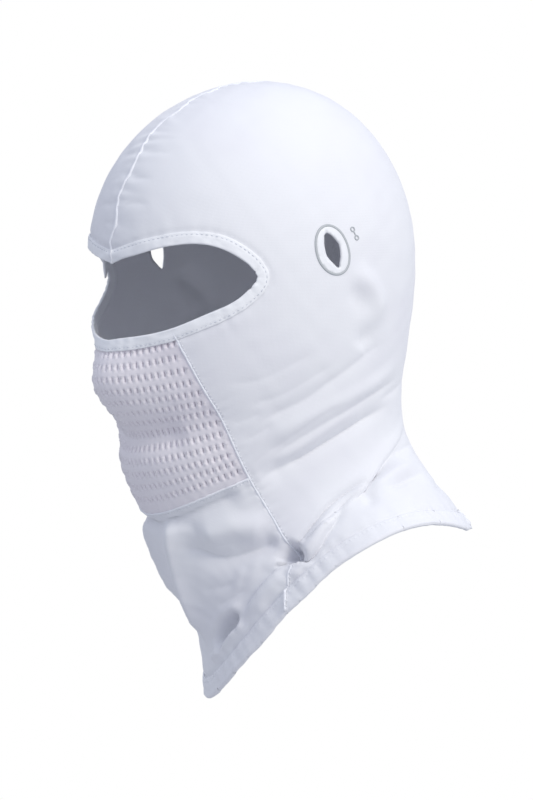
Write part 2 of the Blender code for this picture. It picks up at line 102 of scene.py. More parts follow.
EYE_LINE = (
    (0.0, 0.0025), (14.0, 0.0075), (27.0, 0.0113), (38.0, 0.0126), (47.0, 0.0102),
    (54.5, 0.0038), (59.3, -0.0040), (60.2, -0.0100), (57.5, -0.0165), (52.0, -0.0235),
    (44.0, -0.0300), (29.0, -0.0385), (14.0, -0.0430), (0.0, -0.0450),
)
EYE_CORNER_KEY = 7
EYE_SEAM_KEY = 11
FRONT_LINE = (
    (29.0, -0.0385), (38.8, -0.0654), (47.5, -0.0898), (55.2, -0.1259),
    (60.2, -0.1493), (64.0, -0.1723), (66.5, -0.2010), (62.0, -0.2230), (60.0, HEM_LEVEL),
)
FRONT_CORNER_KEY = 3
CHIN_LEVEL = -0.1385
CHIN_POWER = 1.7

MESH_ROW = 0.0072
MESH_COLUMN = 0.0037
MESH_SLOT_WIDTH = 0.00132
MESH_SLOT_HEIGHT = 0.0035
MESH_TILT = math.radians(5.0)
MESH_GRID = 0.0014
# kinds of places in the mesh: collar of a slot, crest between slots, plain, floor of a slot
CREST, PLAIN = 1, 2
MESH_LIFTS = (-0.00005, 0.00050, 0.0, -0.0019)
SLOT_EDGE_LIFT = -0.00042

TICK_PITCH = 0.0022
TICK_REACH = 0.00095
TICK_RADIUS = 0.00018
TICK_LIFT = 0.00048
TICKS_BESIDE = 0.00085

CLOTH_GRID = 0.0017 if FINE else 0.0032
LINE_STEP = 0.0012 if FINE else 0.0020
OUTLINE_STEP = 1.3 * LINE_STEP
FOLD_STEP = 0.0016
RIDGE_STEP = 0.0013
PUCKER_STEP = 0.0020
LINE_PIECES = 8
# rows of a distance table worked out at a time, and the millimetres of FOLDS
BLOCK = 1000
PER_METRE = 1000.0


# ---------------------------------------------------------------- the worn surface

def ring_values(level):
    """Columns of RINGS at an array of levels, eased smoothly between its rows."""
    levels = RINGS[:, 0]
    gaps = np.diff(levels)
    index = np.clip(np.searchsorted(levels, level) - 1, 0, len(levels) - 2)
    span = gaps[index]
    t = (level - levels[index]) / span
    columns = []
    for column in range(1, 8):
        values = RINGS[:, column]
        rates = np.diff(values) / gaps
        slopes = np.empty_like(values)
        slopes[1:-1] = (rates[:-1] * gaps[1:] + rates[1:] * gaps[:-1]) / (gaps[1:] + gaps[:-1])
        slopes[0] = rates[0]
        slopes[-1] = 1.0 if column in (3, 6) else 0.0
        columns.append((1 + 2 * t) * (1 - t) ** 2 * values[index]
                       + t * (1 - t) ** 2 * span * slopes[index]
                       + t * t * (3 - 2 * t) * values[index + 1]
                       - t * t * (1 - t) * span * slopes[index + 1])
    return columns


def worn_points(angle, level):
    """Middle of the cloth at arrays of angles round the head and levels."""
    width, side_y, side_z, face_y, nape_y, nape_z, turn = ring_values(np.minimum(level, 0.0))
    up = level > 0.0
    shrink = np.sqrt(np.clip(1.0 - np.clip(level / CROWN, 0.0, 1.0) ** DOME_POWER, 0.0, 1.0))
    dome_y = CROWN_SHIFT * (1.0 - shrink)
    width = np.where(up, HALF_BREADTH * shrink, width)
    side_y = np.where(up, dome_y, side_y)
    face_y = np.where(up, dome_y - FOREHEAD * shrink, face_y)
    nape_y = np.where(up, dome_y + BACK_OF_HEAD * shrink, nape_y)
    side_z = np.where(up, level, side_z)
    nape_z = np.where(up, level, nape_z)
    bearing = np.radians(angle)
    sine = np.sin(bearing)
    cosine = np.cos(bearing)
    x = width * sine
    ahead = side_y - face_y
    behind = nape_y - side_y
    y = side_y - (ahead + behind) / 2 * cosine - (ahead - behind) / 2 * cosine ** 2
    z = ((level + nape_z + 2 * side_z) / 4 + (level - nape_z) / 2 * cosine
         + (level + nape_z - 2 * side_z) / 4 * np.cos(2 * bearing))
    wrapped = (angle + 180.0) % 360.0 - 180.0
    for at_angle, at_level, spread, spread_up, height in SWELLINGS:
        push = height * np.exp(-((wrapped - at_angle) / spread) ** 2 / 2
                               - ((level - at_level) / spread_up) ** 2 / 2)
        x = x + push * sine
        y = y - push * cosine
    twist = np.radians(turn)
    y = y - NECK_AXIS_Y
    return np.stack((x * np.cos(twist) - y * np.sin(twist),
                     x * np.sin(twist) + y * np.cos(twist) + NECK_AXIS_Y, z), -1)


def to_pattern(points):
    """Pattern places of angle and level points."""
    points = np.asarray(points, float)
    angle, level = points[..., 0], points[..., 1]
    bearing = np.radians(angle)
    up = np.clip(level / CROWN, 0.0, 1.0)
    out = np.sqrt(1.0 - up * up)
    reach = np.arccos(np.clip(out * np.sin(bearing), -1.0, 1.0))
    scale = PATTERN_RADIUS * reach / np.maximum(np.sin(reach), 1e-9)
    low = level <= 0.0
    return np.stack((np.where(low, PATTERN_RADIUS * np.radians(angle - 90.0),
                              -out * np.cos(bearing) * scale),
                     np.where(low, level, up * scale)), -1)


def from_pattern(places):
    """Angles and levels of pattern places."""
    round_way, rise = places[..., 0], places[..., 1]
    reach = np.hypot(round_way, rise) / PATTERN_RADIUS
    part = np.sin(reach) / np.maximum(reach * PATTERN_RADIUS, 1e-9)
    low = rise <= 0.0
    angle = np.where(low, 90.0 + np.degrees(round_way / PATTERN_RADIUS),
                     np.degrees(np.arctan2(np.cos(reach), -part * round_way)))
    return angle, np.where(low, rise, CROWN * part * rise)


def bare(places, side):
    """Points of the smooth surface, before folds."""
    angle, level = from_pattern(places)
    return worn_points(side * angle, level)


def tangents(places, side, surface):
    """How a surface moves per metre round and up the pattern."""
    step = 0.0005
    over = np.array((step, 0.0))
    up = np.array((0.0, step))
    across = surface(places + over, side) - surface(places - over, side)
    upward = surface(places + up, side) - surface(places - up, side)
    return across / (2 * step), upward / (2 * step)


def unit(vectors):
    """Vectors scaled to length one."""
    return vectors / np.maximum(np.linalg.norm(vectors, axis=-1, keepdims=True), 1e-12)


def dot(a, b):
    """Row by row dot product."""
    return (a * b).sum(-1)


def normals(places, side, surface):
    """Outward directions of a surface."""
    across, upward = tangents(places, side, surface)
    return unit(np.cross(across, upward)) * side


def run_of(points):
    """Distance along a line of points, from its first one."""
    return np.concatenate(([0.0], np.cumsum(np.linalg.norm(np.diff(points, axis=0), axis=1))))


def slide(places, moves, side):
    """Pattern places reached by moving along the smooth surface by vectors in space."""
    across, upward = tangents(places, side, bare)
    aa, au, uu = dot(across, across), dot(across, upward), dot(upward, upward)
    ma, mu = dot(moves, across), dot(moves, upward)
    scale = aa * uu - au * au
    return places + np.stack(((ma * uu - mu * au) / scale, (mu * aa - ma * au) / scale), -1)


# ---------------------------------------------------------------- lines on the cloth

def smooth_line(keys, pieces=LINE_PIECES):
    """Smooth run of points through a few keys."""
    keys = np.asarray(keys, float)
    ends = np.vstack((keys[:1], keys, keys[-1:]))
    t = (np.arange(pieces) / pieces)[:, None]
    runs = []
    for before, start, end, after in zip(ends, ends[1:], ends[2:], ends[3:]):
        runs.append(0.5 * (2 * start + (end - before) * t
                           + (2 * before - 5 * start + 4 * end - after) * t ** 2
                           + (3 * start - before - 3 * end + after) * t ** 3))
    return np.vstack(runs + [keys[-1:]])


def even_line(places, step, side=1, closed=False):
    """The same pattern line with places an even distance apart on the cloth."""
    ring = np.vstack((places, places[:1])) if closed else places
    lengths = run_of(bare(ring, side))
    count = max(2, round(lengths[-1] / step))
    wanted = np.linspace(0.0, lengths[-1], count + 1)
    line = np.stack([np.interp(wanted, lengths, ring[:, k]) for k in (0, 1)], -1)
    return line[:-1] if closed else line


def line_length(places, side=1):
    """Length of a pattern line on the smooth surface."""
    return np.linalg.norm(np.diff(bare(places, side), axis=0), axis=1).sum()


def line_frame(places, side=1, closed=False):
    """Points of a pattern line in space, with unit directions along it and to its left."""
    points = bare(places, side)
    along = np.roll(points, -1, 0) - np.roll(points, 1, 0) if closed else np.gradient(points, axis=0)
    return points, unit(along), unit(np.cross(normals(places, side, bare), along))


def shifted(places, distance, side=1, closed=False):
    """The line moved sideways along the cloth, to the left of its direction for a plus."""
    distance = np.broadcast_to(distance, (len(places),))
    return slide(places, line_frame(places, side, closed)[2] * distance[:, None], side)


def mirrored(points):
    """The same angle and level points on the wearer's right."""
    return np.asarray(points) * (-1, 1)


def hem_top(angle, width=HEM_WIDTH):
    """Level of the hem band's upper edge at an array of angles."""
    angle = np.atleast_1d(np.asarray(angle, float))
    levels = HEM_LEVEL + np.arange(0, 0.05, 0.0005)
    grid_angle, grid_level = np.meshgrid(angle, levels, indexing="ij")
    points = worn_points(grid_angle, grid_level)
    steps = np.linalg.norm(np.diff(points, axis=1), axis=2).cumsum(axis=1)
    return levels[1 + np.argmax(steps >= width, axis=1)]


def cut_line(keys, key, before):
    """The part of a smooth line before one of its keys, or from it on."""
    line = smooth_line(keys)
    return line[:key * LINE_PIECES + 1] if before else line[key * LINE_PIECES:]


def eye_line(before):
    """Eye line from the forehead to the front seam, or from there to the middle of the nose."""
    return cut_line(EYE_LINE, EYE_SEAM_KEY, before)


def front_line(before):
    """Front seam from the binding to the jaw corner, or from there to the hem's edge."""
    return cut_line(FRONT_LINE, FRONT_CORNER_KEY, before)


def eye_loop(step):
    """Whole middle line of the eye binding."""
    left = smooth_line(EYE_LINE)
    return even_line(to_pattern(np.vstack((left, mirrored(left)[::-1][1:-1]))), step, 1, True)


def hem_line(angle, width=HEM_WIDTH):
    """Pattern line a distance above the hem's edge, at an array of angles."""
    return to_pattern(np.stack((angle, hem_top(angle, width)), -1))


def chin_line():
    """Seam under the mesh, from the left jaw corner to the right one."""
    corner_angle, corner_level = FRONT_LINE[FRONT_CORNER_KEY]
    part = np.linspace(1.0, -1.0, 61)
    level = CHIN_LEVEL + (corner_level - CHIN_LEVEL) * np.abs(part) ** CHIN_POWER
    return np.stack((corner_angle * part, level), -1)


def centre_line(side):
    """Centre seam from the forehead over the crown to the nape hem, puckered sideways."""
    start = math.asin(EYE_LINE[0][1] / CROWN)
    climb = np.linspace(start, math.pi - 1e-3, 240)
    front = climb <= math.pi / 2
    dome = np.stack((np.where(front, 0.0, 180.0), CROWN * np.sin(climb)), -1)
    neck = np.stack((np.full(160, 180.0), np.linspace(0.0, HEM_LEVEL, 161)[1:]), -1)
    places = even_line(to_pattern(np.vstack((dome, neck))), LINE_STEP, side)
    along = np.linspace(0.0, line_length(places, side), len(places))
    ends = np.clip(along / 0.012, 0.0, 1.0) * np.clip((along[-1] - along) / 0.020, 0.0, 1.0)
    sway = 0.0015 * np.sin(along / 0.0051 + 1.4 * np.sin(along / 0.019))
    sway += 0.0008 * np.sin(along / 0.0113 + 2.0)
    fade = np.where(along < 0.150, 1.0, 0.45)
    return shifted(places, sway * ends * fade, side)


# ---------------------------------------------------------------- folds

def hump(x):
    """Soft rise along a line."""
    return np.exp(-x * x)


def dip(x):
    """Soft hollow along a line."""
    return -np.exp(-x * x)


def crease(x):
    """Valley with a narrow bottom."""
    return -np.exp(-1.5 * np.sqrt(x * x + 0.03)) * 1.3


def roof(x):
    """Rise with a sharp top and even sides."""
    return 1.3 * np.exp(-1.5 * np.sqrt(x * x + 0.02))


def lap(x):
    """Cloth on the plus side standing over cloth on the minus side."""
    return np.tanh(4.0 * x) * np.exp(-0.8 * x * x) * 1.25


def lap_over(x):
    """How far the standing cloth leans over the lower cloth."""
    return np.exp(-((x - 0.12) / 0.38) ** 2)


# Each fold: keys in degrees and millimetres of level, shape, then in millimetres its height, half width,
# lean and the lengths over which it fades in and out, and its share on the wearer's right.
FOLDS = (
    # where the head meets the turned neck
    (((128, -96), (115, -100.5), (100, -109), (90.2, -114.7), (77.5, -122.5), (66.5, -126.5),
     (57, -126.5)), crease, 4.6, 8.5, 0, 30, 16, 0.5),
    (((118, -100), (100, -109.5), (90.2, -115.2), (77.5, -123), (68, -126.8)), crease, 1.3, 1.6, 0, 20,
     12, 0.5),
    # long lap from the nape down to the bib, the upper cloth standing over the lower
    (((92, -188.5), (97, -178.5), (102.2, -170.8), (109, -158.6), (119.8, -142.5), (137.2, -131.3),
     (152, -121)), lap, 2.3, 5.8, 2.4, 18, 45, 0.5),
    # below the lap a slim leaf and a fuller one, both running into a pocket at the bib seam
    (((106, -164), (101, -165), (95.5, -169), (87.5, -174), (79.5, -183.5), (73, -191), (66.5, -198.5)),
     crease, 3.6, 2.1, 0, 14, 4, 0.35),
    (((100, -170), (95.5, -176.5), (91, -182.5), (85, -188), (78.5, -193.5), (71, -197)), crease, 2.4,
     1.7, 0, 12, 4, 0.35),
    (((86, -190.5), (78.5, -199.5), (73.5, -203.5), (69.5, -205)), hump, 2.6, 4.2, 0, 8, 4, 0.35),
    (((68.5, -213), (73, -211.5), (77, -207.5), (81, -200), (84.5, -194.5), (88, -189.5), (92, -184.5)),
     lap, 3, 3.6, 1.6, 5, 16, 0.35),
    (((71, -197), (67.5, -201), (65, -205), (65, -210)), dip, 15, 5.4, 0, 5, 5, 0.35),
    # cloth pushed up along the hem beside the bib seam
    (((45, -223), (52, -216), (60, -215), (70, -220), (80, -220)), hump, 1.6, 3, 0, 12, 15, 0.5),
    (((62.5, -206.2), (57, -206.2), (51, -208.4), (45.5, -211.8), (41, -215.2)), lap, 1.6, 4, 1, 8, 8, 0.5),
    # small folds under the nape
    (((160, -150), (140, -148.5), (127, -148.5), (113, -160.5), (104, -176)), crease, 1.9, 3.2, 0, 30, 14,
     0.6),
    (((148, -170), (128, -170), (112, -176), (103, -185)), hump, 3.2, 4.6, 0, 30, 12, 0.6),
    (((150, -182), (128, -183), (112, -190)), crease, 2.6, 3.6, 0, 30, 14, 0.6),
    (((106, -183), (103, -192), (100, -203)), dip, 1.4, 3.4, 0, 6, 8, 0.6),
    (((176, -196), (160, -196), (143, -200)), crease, 1.6, 3, 0, 10, 20, 0.8),
    (((176, -120), (160, -113), (146, -108)), crease, 1.5, 4, 0, 10, 20, 1.0),
    # back of the head drawn in above the nape
    (((178, -52), (155, -54), (132, -58)), dip, 3.4, 18, 0, 1, 30, 1.0),
    # neck front: an edge down the middle, a hollow under the mesh, a swelling and the valley under it
    (((14.5, -142), (13.5, -156.7), (12.8, -171.3), (12.6, -186.4), (10.5, -200.6), (7, -213.7)), roof,
     6.2, 8.5, 0, 5, 20, 0.6),
    (((-50, -134), (-36, -138.5), (-18, -142.5), (0, -144), (18, -142.5), (36, -138.5), (52, -133.5)),
     crease, 5, 4.8, 0, 12, 12, 0.0),
    (((28, -154), (37.5, -154.5), (46.5, -156.2), (55, -164), (61, -174)), hump, 4.2, 7.5, 0, 10, 10, 0.5),
    (((18, -156), (23, -160), (30, -167), (38, -174.2), (49, -179.1), (58.5, -181.5), (64, -180.6)),
     crease, 5, 6.2, 0, 12, 8, 0.5),
    (((-45, -196), (-20, -197), (0, -197), (16, -199)), dip, 5, 14, 0, 30, 20, 0.0),
    (((22, -185), (32, -189), (44, -193.5)), crease, 0.8, 2.4, 0, 10, 10, 0.5),
    (((30, -162), (41, -165.5), (52, -168)), crease, 0.5, 1.6, 0, 8, 8, 0.5),
    (((26, -196), (35, -199), (47, -200)), crease, 0.6, 2, 0, 10, 10, 0.5),
    (((54, -183), (50, -193), (44, -202)), hump, 0.9, 3.4, 0, 8, 10, 0.5),
    (((47, -184), (42, -193), (37, -200)), hump, 0.7, 2.6, 0, 8, 10, 0.5),
    # hollow under the nose, and the binding drawn in at its bridge
    (((-34, -93), (-16, -95.5), (0, -96), (16, -95.5), (34, -93)), dip, 3.4, 7.5, 0, 12, 12, 0.0),
    (((-44, -40), (-30, -48), (-14, -52)), dip, 2.4, 10, 0, 14, 14, 0.0),
    # pocket over the front of the hem: arch, hollow, rolled lip and the gap under it
    (((17.5, -216), (22, -211), (27, -206.5), (32.5, -204.5), (38.5, -207), (41.5, -212)), hump, 2.2, 3,
     0, 8, 8, 0.5),
    (((20, -220), (25, -214.8), (30, -211.8), (35, -212.5), (38.5, -215.5)), dip, 10.5, 4, 0, 7, 5, 0.5),
    (((40, -217.5), (35, -219.2), (29, -220.8), (22, -222.4), (15.5, -224.5)), hump, 3.4, 2.5, 0, 8, 7,
     0.5),
    # soft swelling of the ear under the cloth
    (((92, -4), (100.5, -12), (105.5, -24), (103.5, -40)), hump, 2.6, 6, 0, 12, 16, 1.0),
    (((90, -14), (95.5, -22), (97, -34)), dip, 1.1, 5.5, 0, 8, 12, 1.0),
    (((96, -52), (99, -46), (108, -42)), dip, 2.2, 6.5, 0, 8, 12, 1.0),
    # cloth drawn tight between the ear, the nape and the corner of the mesh
    (((112, -46), (103, -54.5), (90, -67), (77, -80), (66, -87), (57, -94)), crease, 1.6, 4.6, 0, 20, 20,
     0.8),
    (((128, -64), (107, -76), (86, -88), (72, -97), (62, -106)), hump, 1.8, 5, 0, 30, 20, 0.8),
    (((132, -74), (110, -84.5), (92, -95), (76, -106.5), (63, -117)), crease, 1.5, 3.8, 0, 30, 16, 0.8),
    (((96, -84), (84, -92), (72, -104), (59, -115)), crease, 0.8, 2.6, 0, 16, 12, 0.8),
    (((104, -90), (90, -100), (76, -112), (64, -120.5)), hump, 1, 3, 0, 20, 12, 0.8),
    (((88, -58), (76, -69), (66, -76.5), (54, -80)), crease, 0.7, 3, 0, 14, 14, 0.8),
    (((80, -50), (68, -60), (58, -66), (46, -66)), crease, 0.5, 2.6, 0, 14, 14, 0.8),
    (((66, -92), (60, -98), (53, -102)), crease, 0.6, 1.8, 0, 6, 6, 0.8),
    (((62, -84), (56, -88), (49, -90)), crease, 0.5, 1.6, 0, 6, 6, 0.8),
    (((64, -110), (59, -115), (54.5, -118)), crease, 0.5, 1.6, 0, 6, 6, 0.8),
    (((150, -80), (128, -86), (112, -92)), crease, 1.2, 4, 0, 30, 14, 0.8),
    # drawn cloth beside the forehead seam
    (((3, 30), (10, 31.5), (19, 30.5)), crease, 0.6, 2.2, 0, 6, 10, 0.8),
    (((2, 44), (9, 45), (17, 44)), crease, 0.6, 2.2, 0, 6, 10, 0.8),
    (((3, 58), (11, 59), (22, 58)), crease, 0.5, 2, 0, 6, 10, 0.8),
)

# what counts as a sharp fold, and the rows of mesh places beside it in half widths
SHARP_WIDTH = 0.0037
SHARP_HEIGHT = 0.0018
LAP_ROWS = (-0.30, -0.12, 0.0, 0.12, 0.30, 0.55)
RIDGE_ROWS = (-0.9, -0.45, 0.0, 0.45, 0.9)


def fold_line(fold):
    """A fold's line as pattern places."""
    return to_pattern(smooth_line(np.array(fold[0]) / (1.0, PER_METRE)))


def fold_sizes(fold):
    """A fold's height, half width, lean and two fading lengths in metres."""
    return [size / PER_METRE for size in fold[2:7]]


def smoothstep(x):
    """Ease from 0 to 1."""
    x = np.clip(x, 0.0, 1.0)
    return x * x * (3 - 2 * x)


def rows_near(points, line, margin):
    """Which points lie in the box round a line, widened by a margin."""
    low = line.min(axis=0) - margin
    high = line.max(axis=0) + margin
    return np.flatnonzero(((points > low) & (points < high)).all(axis=1))


class Drape:
    """All folds as one field of moves over the smooth surface."""

    def __init__(self):
        self.folds = []

    def add(self, places, shape, sizes, side=1, share=1.0):
        """Lay one fold along a pattern line."""
        self.folds.append((line_frame(places, side), shape, sizes, side, share))

    def moves(self, points, outward):
        """How far every point moves."""
        total = np.zeros_like(points)
        for (line, along, sideways), shape, sizes, side, share in self.folds:
            height, width, lean, fade_in, fade_out = sizes
            reach = 3.2 * width
            near = rows_near(points, line, reach)
            if len(near) == 0:
                continue
            part = points[near]
            lengths = run_of(line)
            gaps = ((part[:, None, :] - line[None]) ** 2).sum(-1)
            closest = gaps.argmin(axis=1)
            delta = part - line[closest]
            across = dot(delta, sideways[closest]) * side
            forward = lengths[closest] + dot(delta, along[closest])
            fade = smoothstep(forward / fade_in) * smoothstep((lengths[-1] - forward) / fade_out)
            fade *= np.exp(-(dot(delta, outward[near]) / (2 * reach)) ** 2)
            fade *= gaps.min(axis=1) < (reach * 1.5) ** 2
            x = across / width
            push = share * height * fade * shape(x)
            shove = -side * share * lean * fade * lap_over(x)
            total[near] += outward[near] * push[:, None] + sideways[closest] * shove[:, None]
        return total


NO_FADE = 1e-6
DRAPE = Drape()
for each_fold in FOLDS:
    for each_side, its_share in ((1, 1.0), (-1, each_fold[-1])):
        if its_share:
            DRAPE.add(even_line(fold_line(each_fold), FOLD_STEP, each_side), each_fold[1],
                      fold_sizes(each_fold), each_side, its_share)

# the cloth is held down just outside the eye binding and just above the hem
EYE_EDGE = shifted(eye_loop(FOLD_STEP), BINDING_WIDTH / 2 + 0.0009, 1, True)
HEM_EDGE = hem_line(np.linspace(-180.0, 180.0, 420), HEM_WIDTH + 0.0016)
DRAPE.add(EYE_EDGE, dip, (0.00055, 0.0013, 0.0, NO_FADE, NO_FADE))
DRAPE.add(HEM_EDGE, dip, (0.00110, 0.0017, 0.0, NO_FADE, NO_FADE))


def crinkle(points):
    """Small unevenness of worn jersey, stronger on the loose neck."""
    x, y, z = points.T
    loose = smoothstep((-0.115 - z) / 0.06) * smoothstep((0.05 - y) / 0.05)
    first = np.sin(330.0 * x + 190.0 * z + 2.0 * np.sin(170.0 * y + 90.0 * z))
    second = np.sin(410.0 * z - 250.0 * y + 1.7 * np.sin(230.0 * x + 60.0 * z))
    third = np.sin(760.0 * z + 520.0 * x + 2.2 * np.sin(350.0 * y))
    on_neck = 0.00008 * first * second + 0.00005 * second + 0.00006 * third
    return 0.00006 * (first + second) + loose * on_neck


class Pucker:
    """Little waves where a seam gathers the cloth beside it."""

    def __init__(self, line, side, height, wave, reach):
        self.points, self.along, _ = line_frame(line, side)
        self.height, self.wave, self.reach = height, wave, reach

    def moves(self, points, outward):
        """Waves that fade with distance from the seam."""
        total = np.zeros_like(points)
        near = rows_near(points, self.points, 4 * self.reach)
        part = points[near]
        closest = np.empty(len(near), int)
        for start in range(0, len(near), BLOCK):
            block = part[start:start + BLOCK]
            gaps = ((block[:, None, :] - self.points[None]) ** 2).sum(-1)
            closest[start:start + BLOCK] = gaps.argmin(axis=1)
        delta = part - self.points[closest]
        away = np.linalg.norm(delta, axis=1)
        place = (run_of(self.points)[closest] + dot(delta, self.along[closest])) / self.wave
        wave = np.sin(2 * math.pi * place + 1.7 * np.sin(place * 1.9)) + 0.5 * np.sin(place * 9.1 + 1.0)
        size = self.height * wave * np.exp(-away / self.reach) * smoothstep(away / 0.0022)
        total[near] = outward[near] * size[:, None]
        return total


def make_puckers():
    """Gathers beside every seam and along the binding and the hem: height, wave length and reach."""
    front = to_pattern(smooth_line(FRONT_LINE))
    return [
        Pucker(even_line(front, PUCKER_STEP, 1), 1, 0.00028, 0.0075, 0.0055),
        Pucker(even_line(front, PUCKER_STEP, -1), -1, 0.00028, 0.0075, 0.0055),
        Pucker(centre_line(1)[::2], 1, 0.00050, 0.0105, 0.0075),
        Pucker(even_line(to_pattern(chin_line()), PUCKER_STEP), 1, 0.00026, 0.0080, 0.0045),
        Pucker(eye_loop(PUCKER_STEP), 1, 0.00022, 0.0095, 0.0060),
        Pucker(hem_line(np.linspace(-180.0, 180.0, 361)), 1, 0.00040, 0.0120, 0.0060),
    ]


PUCKERS = make_puckers()


def worn(places, side):
    """Points of the folded cloth's middle."""
    shape = places.shape
    flat = places.reshape(-1, 2)
    points = bare(flat, side)
    outward = normals(flat, side, bare)
    moves = DRAPE.moves(points, outward)
    for gather in PUCKERS:
        moves = moves + gather.moves(points, outward)
    points = points + moves + outward * crinkle(points)[:, None]
    return points.reshape(shape[:-1] + (3,))


def lay(places, lifts, side=1):
    """Points lifted off the folded cloth along its own outward direction."""
    points = worn(places, side)
    if np.any(lifts):
        points = points + normals(places, side, worn) * np.asarray(lifts)[..., None]
    return points


# ---------------------------------------------------------------- meshes

def new_object(name, points, faces, material, smooth=True):
    """New mesh object."""
    mesh = bpy.data.meshes.new(name)
    mesh.from_pydata(np.asarray(points).tolist(), [], faces)
    mesh.validate()
    if smooth:
        mesh.polygons.foreach_set("use_smooth", [True] * len(mesh.polygons))
    item = bpy.data.objects.new(name, mesh)
    bpy.context.scene.collection.objects.link(item)
    mesh.materials.append(material)
    return item


def stands_for(item, slot, *nodes):
    """The piece rides on the hood and hides its CAD nodes; slot is not used."""
    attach(item, BODY)
    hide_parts(*nodes)


def is_inside(places, loop):
    """Which places are inside a closed pattern loop."""
    inside = np.zeros(len(places), bool)
    x, y = places[:, 0], places[:, 1]
    for a, b in zip(loop, np.roll(loop, -1, 0)):
        if a[1] == b[1]:
            continue
        crosses = ((a[1] > y) != (b[1] > y)) & (x < a[0] + (b[0] - a[0]) * (y - a[1]) / (b[1] - a[1]))
        inside ^= crosses
    return inside


def loop_distance(places, loop):
    """Shortest pattern distance from places to a loop."""
    best = np.full(len(places), 1.0)
    for a, b in zip(loop, np.roll(loop, -1, 0)):
        edge = b - a
        part = np.clip(((places - a) @ edge) / max(edge @ edge, 1e-14), 0.0, 1.0)
        best = np.minimum(best, np.linalg.norm(places - a - part[:, None] * edge, axis=1))
    return best


def grid_inside(outline, step):
    """Staggered grid of pattern places inside a loop."""
    low = outline.min(axis=0)
    high = outline.max(axis=0)
    rows = int((high[1] - low[1]) / (step * 0.866)) + 2
    columns = int((high[0] - low[0]) / step) + 2
    row, column = np.meshgrid(np.arange(rows), np.arange(columns), indexing="ij")
    x = low[0] + (column + 0.5 * (row % 2)) * step
    y = low[1] + row * step * 0.866
    places = np.stack((x.ravel(), y.ravel()), -1)
    places = places[is_inside(places, outline)]
    return places[loop_distance(places, outline) > 0.5 * step]


def fold_rows(outline, side):
    """Extra places in rows along the sharp folds, so that their edges run clean."""
    places = np.empty((0, 2))
    for fold in FOLDS:
        is_lap = fold[1] is lap
        height, width = fold_sizes(fold)[:2]
        if not is_lap and (width > SHARP_WIDTH or height < SHARP_HEIGHT):
            continue
        line = even_line(fold_line(fold), FOLD_STEP if is_lap else RIDGE_STEP, side)
        for part in LAP_ROWS if is_lap else RIDGE_ROWS:
            row = shifted(line, part * width, side)
            places = np.vstack((places, row[nearest(row, places) > (0.0001 if is_lap else 0.0005)]))
    rows = [places]
    if side > 0:
        rows.extend(shifted(EYE_EDGE, part, 1, True) for part in (-0.0006, 0.0006, 0.0018))
        rows.extend(shifted(HEM_EDGE, part) for part in (-0.0008, 0.0006, 0.0019))
    else:
        for line in (EYE_EDGE, HEM_EDGE):
            angle, level = from_pattern(line)
            line = to_pattern(np.stack((-angle, level), -1))
            rows.extend(line + (0.0, part) for part in (-0.0006, 0.0006, 0.0018))
    places = np.vstack(rows)
    places = places[is_inside(places, outline)]
    return places[loop_distance(places, outline) > 0.0008]


def nearest(places, others):
    """Pattern distance from every place to the nearest of some others, at most 1."""
    gaps = np.empty(len(places))
    for start in range(0, len(places), BLOCK):
        block = places[start:start + BLOCK]
        gaps[start:start + BLOCK] = ((block[:, None] - others[None]) ** 2).sum(-1).min(axis=1, initial=1.0)
    return np.sqrt(gaps)


def triangulate(outline, holes, inner, is_open=True):
    """Places, triangles and source of every place inside the outline, with the holes left open or closed."""
    edges = []
    owner = []
    start = 0
    for number, loop in enumerate([outline] + holes):
        count = len(loop)
        edges.extend((start + i, start + (i + 1) % count) for i in range(count))
        owner.extend([number] * count)
        start += count
    owner = np.array(owner + [-1] * len(inner))
    places = np.vstack([outline] + holes + [inner])
    found, _, faces, source, _, _ = delaunay_2d_cdt([Vector(p) for p in places.tolist()], edges, [], 1, 1e-8)
    found = np.array([tuple(p) for p in found])
    faces = np.array(faces)
    source = np.array([item[0] if item else -1 for item in source])
    faces = faces[is_inside(found[faces].mean(axis=1), outline)]
    held = np.where(source >= 0, owner[source], -1)[faces]
    in_hole = (held[:, 0] > 0) & (held[:, 0] == held[:, 1]) & (held[:, 0] == held[:, 2])
    return found, faces[~in_hole] if is_open else faces, source


def cut_cloth(name, outline, material, side=1, holes=(), step=CLOTH_GRID, lift=0.0, thickness=CLOTH,
              creased=True):
    """Sheet of cloth inside a pattern loop."""
    inner = grid_inside(outline, step)
    for hole in holes:
        inner = inner[~is_inside(inner, hole)]
        inner = inner[loop_distance(inner, hole) > 0.5 * step]
    if creased and FINE:
        rows = fold_rows(outline, side)
        inner = np.vstack((inner[nearest(inner, rows) > 0.45 * step], rows))
    places, faces, _ = triangulate(outline, list(holes), inner)
    return new_sheet(name, places, faces.tolist(), material, side, lift, thickness)


def flipped(faces, side):
    """Faces turned round on the wearer's right, where the pattern is mirrored."""
    return faces if side > 0 else [face[::-1] for face in faces]


def new_sheet(name, places, faces, material, side, lift, thickness):
    """Cloth laid over the hood, with its pattern map and half its thickness to each side."""
    item = new_object(name, lay(places, lift, side), flipped(faces, side), material)
    add_pattern_map(item, places)
    solid = item.modifiers.new("cloth thickness", "SOLIDIFY")
    solid.thickness = thickness
    solid.offset = 0.0
    return item


def add_pattern_map(item, places):
    """Texture coordinates in pattern metres, so that the knit follows the cut."""
    layer = item.data.uv_layers.new(name="pattern")
    corners = np.empty(len(item.data.loops), int)
    item.data.loops.foreach_get("vertex_index", corners)
    layer.data.foreach_set("uv", places[corners].ravel())


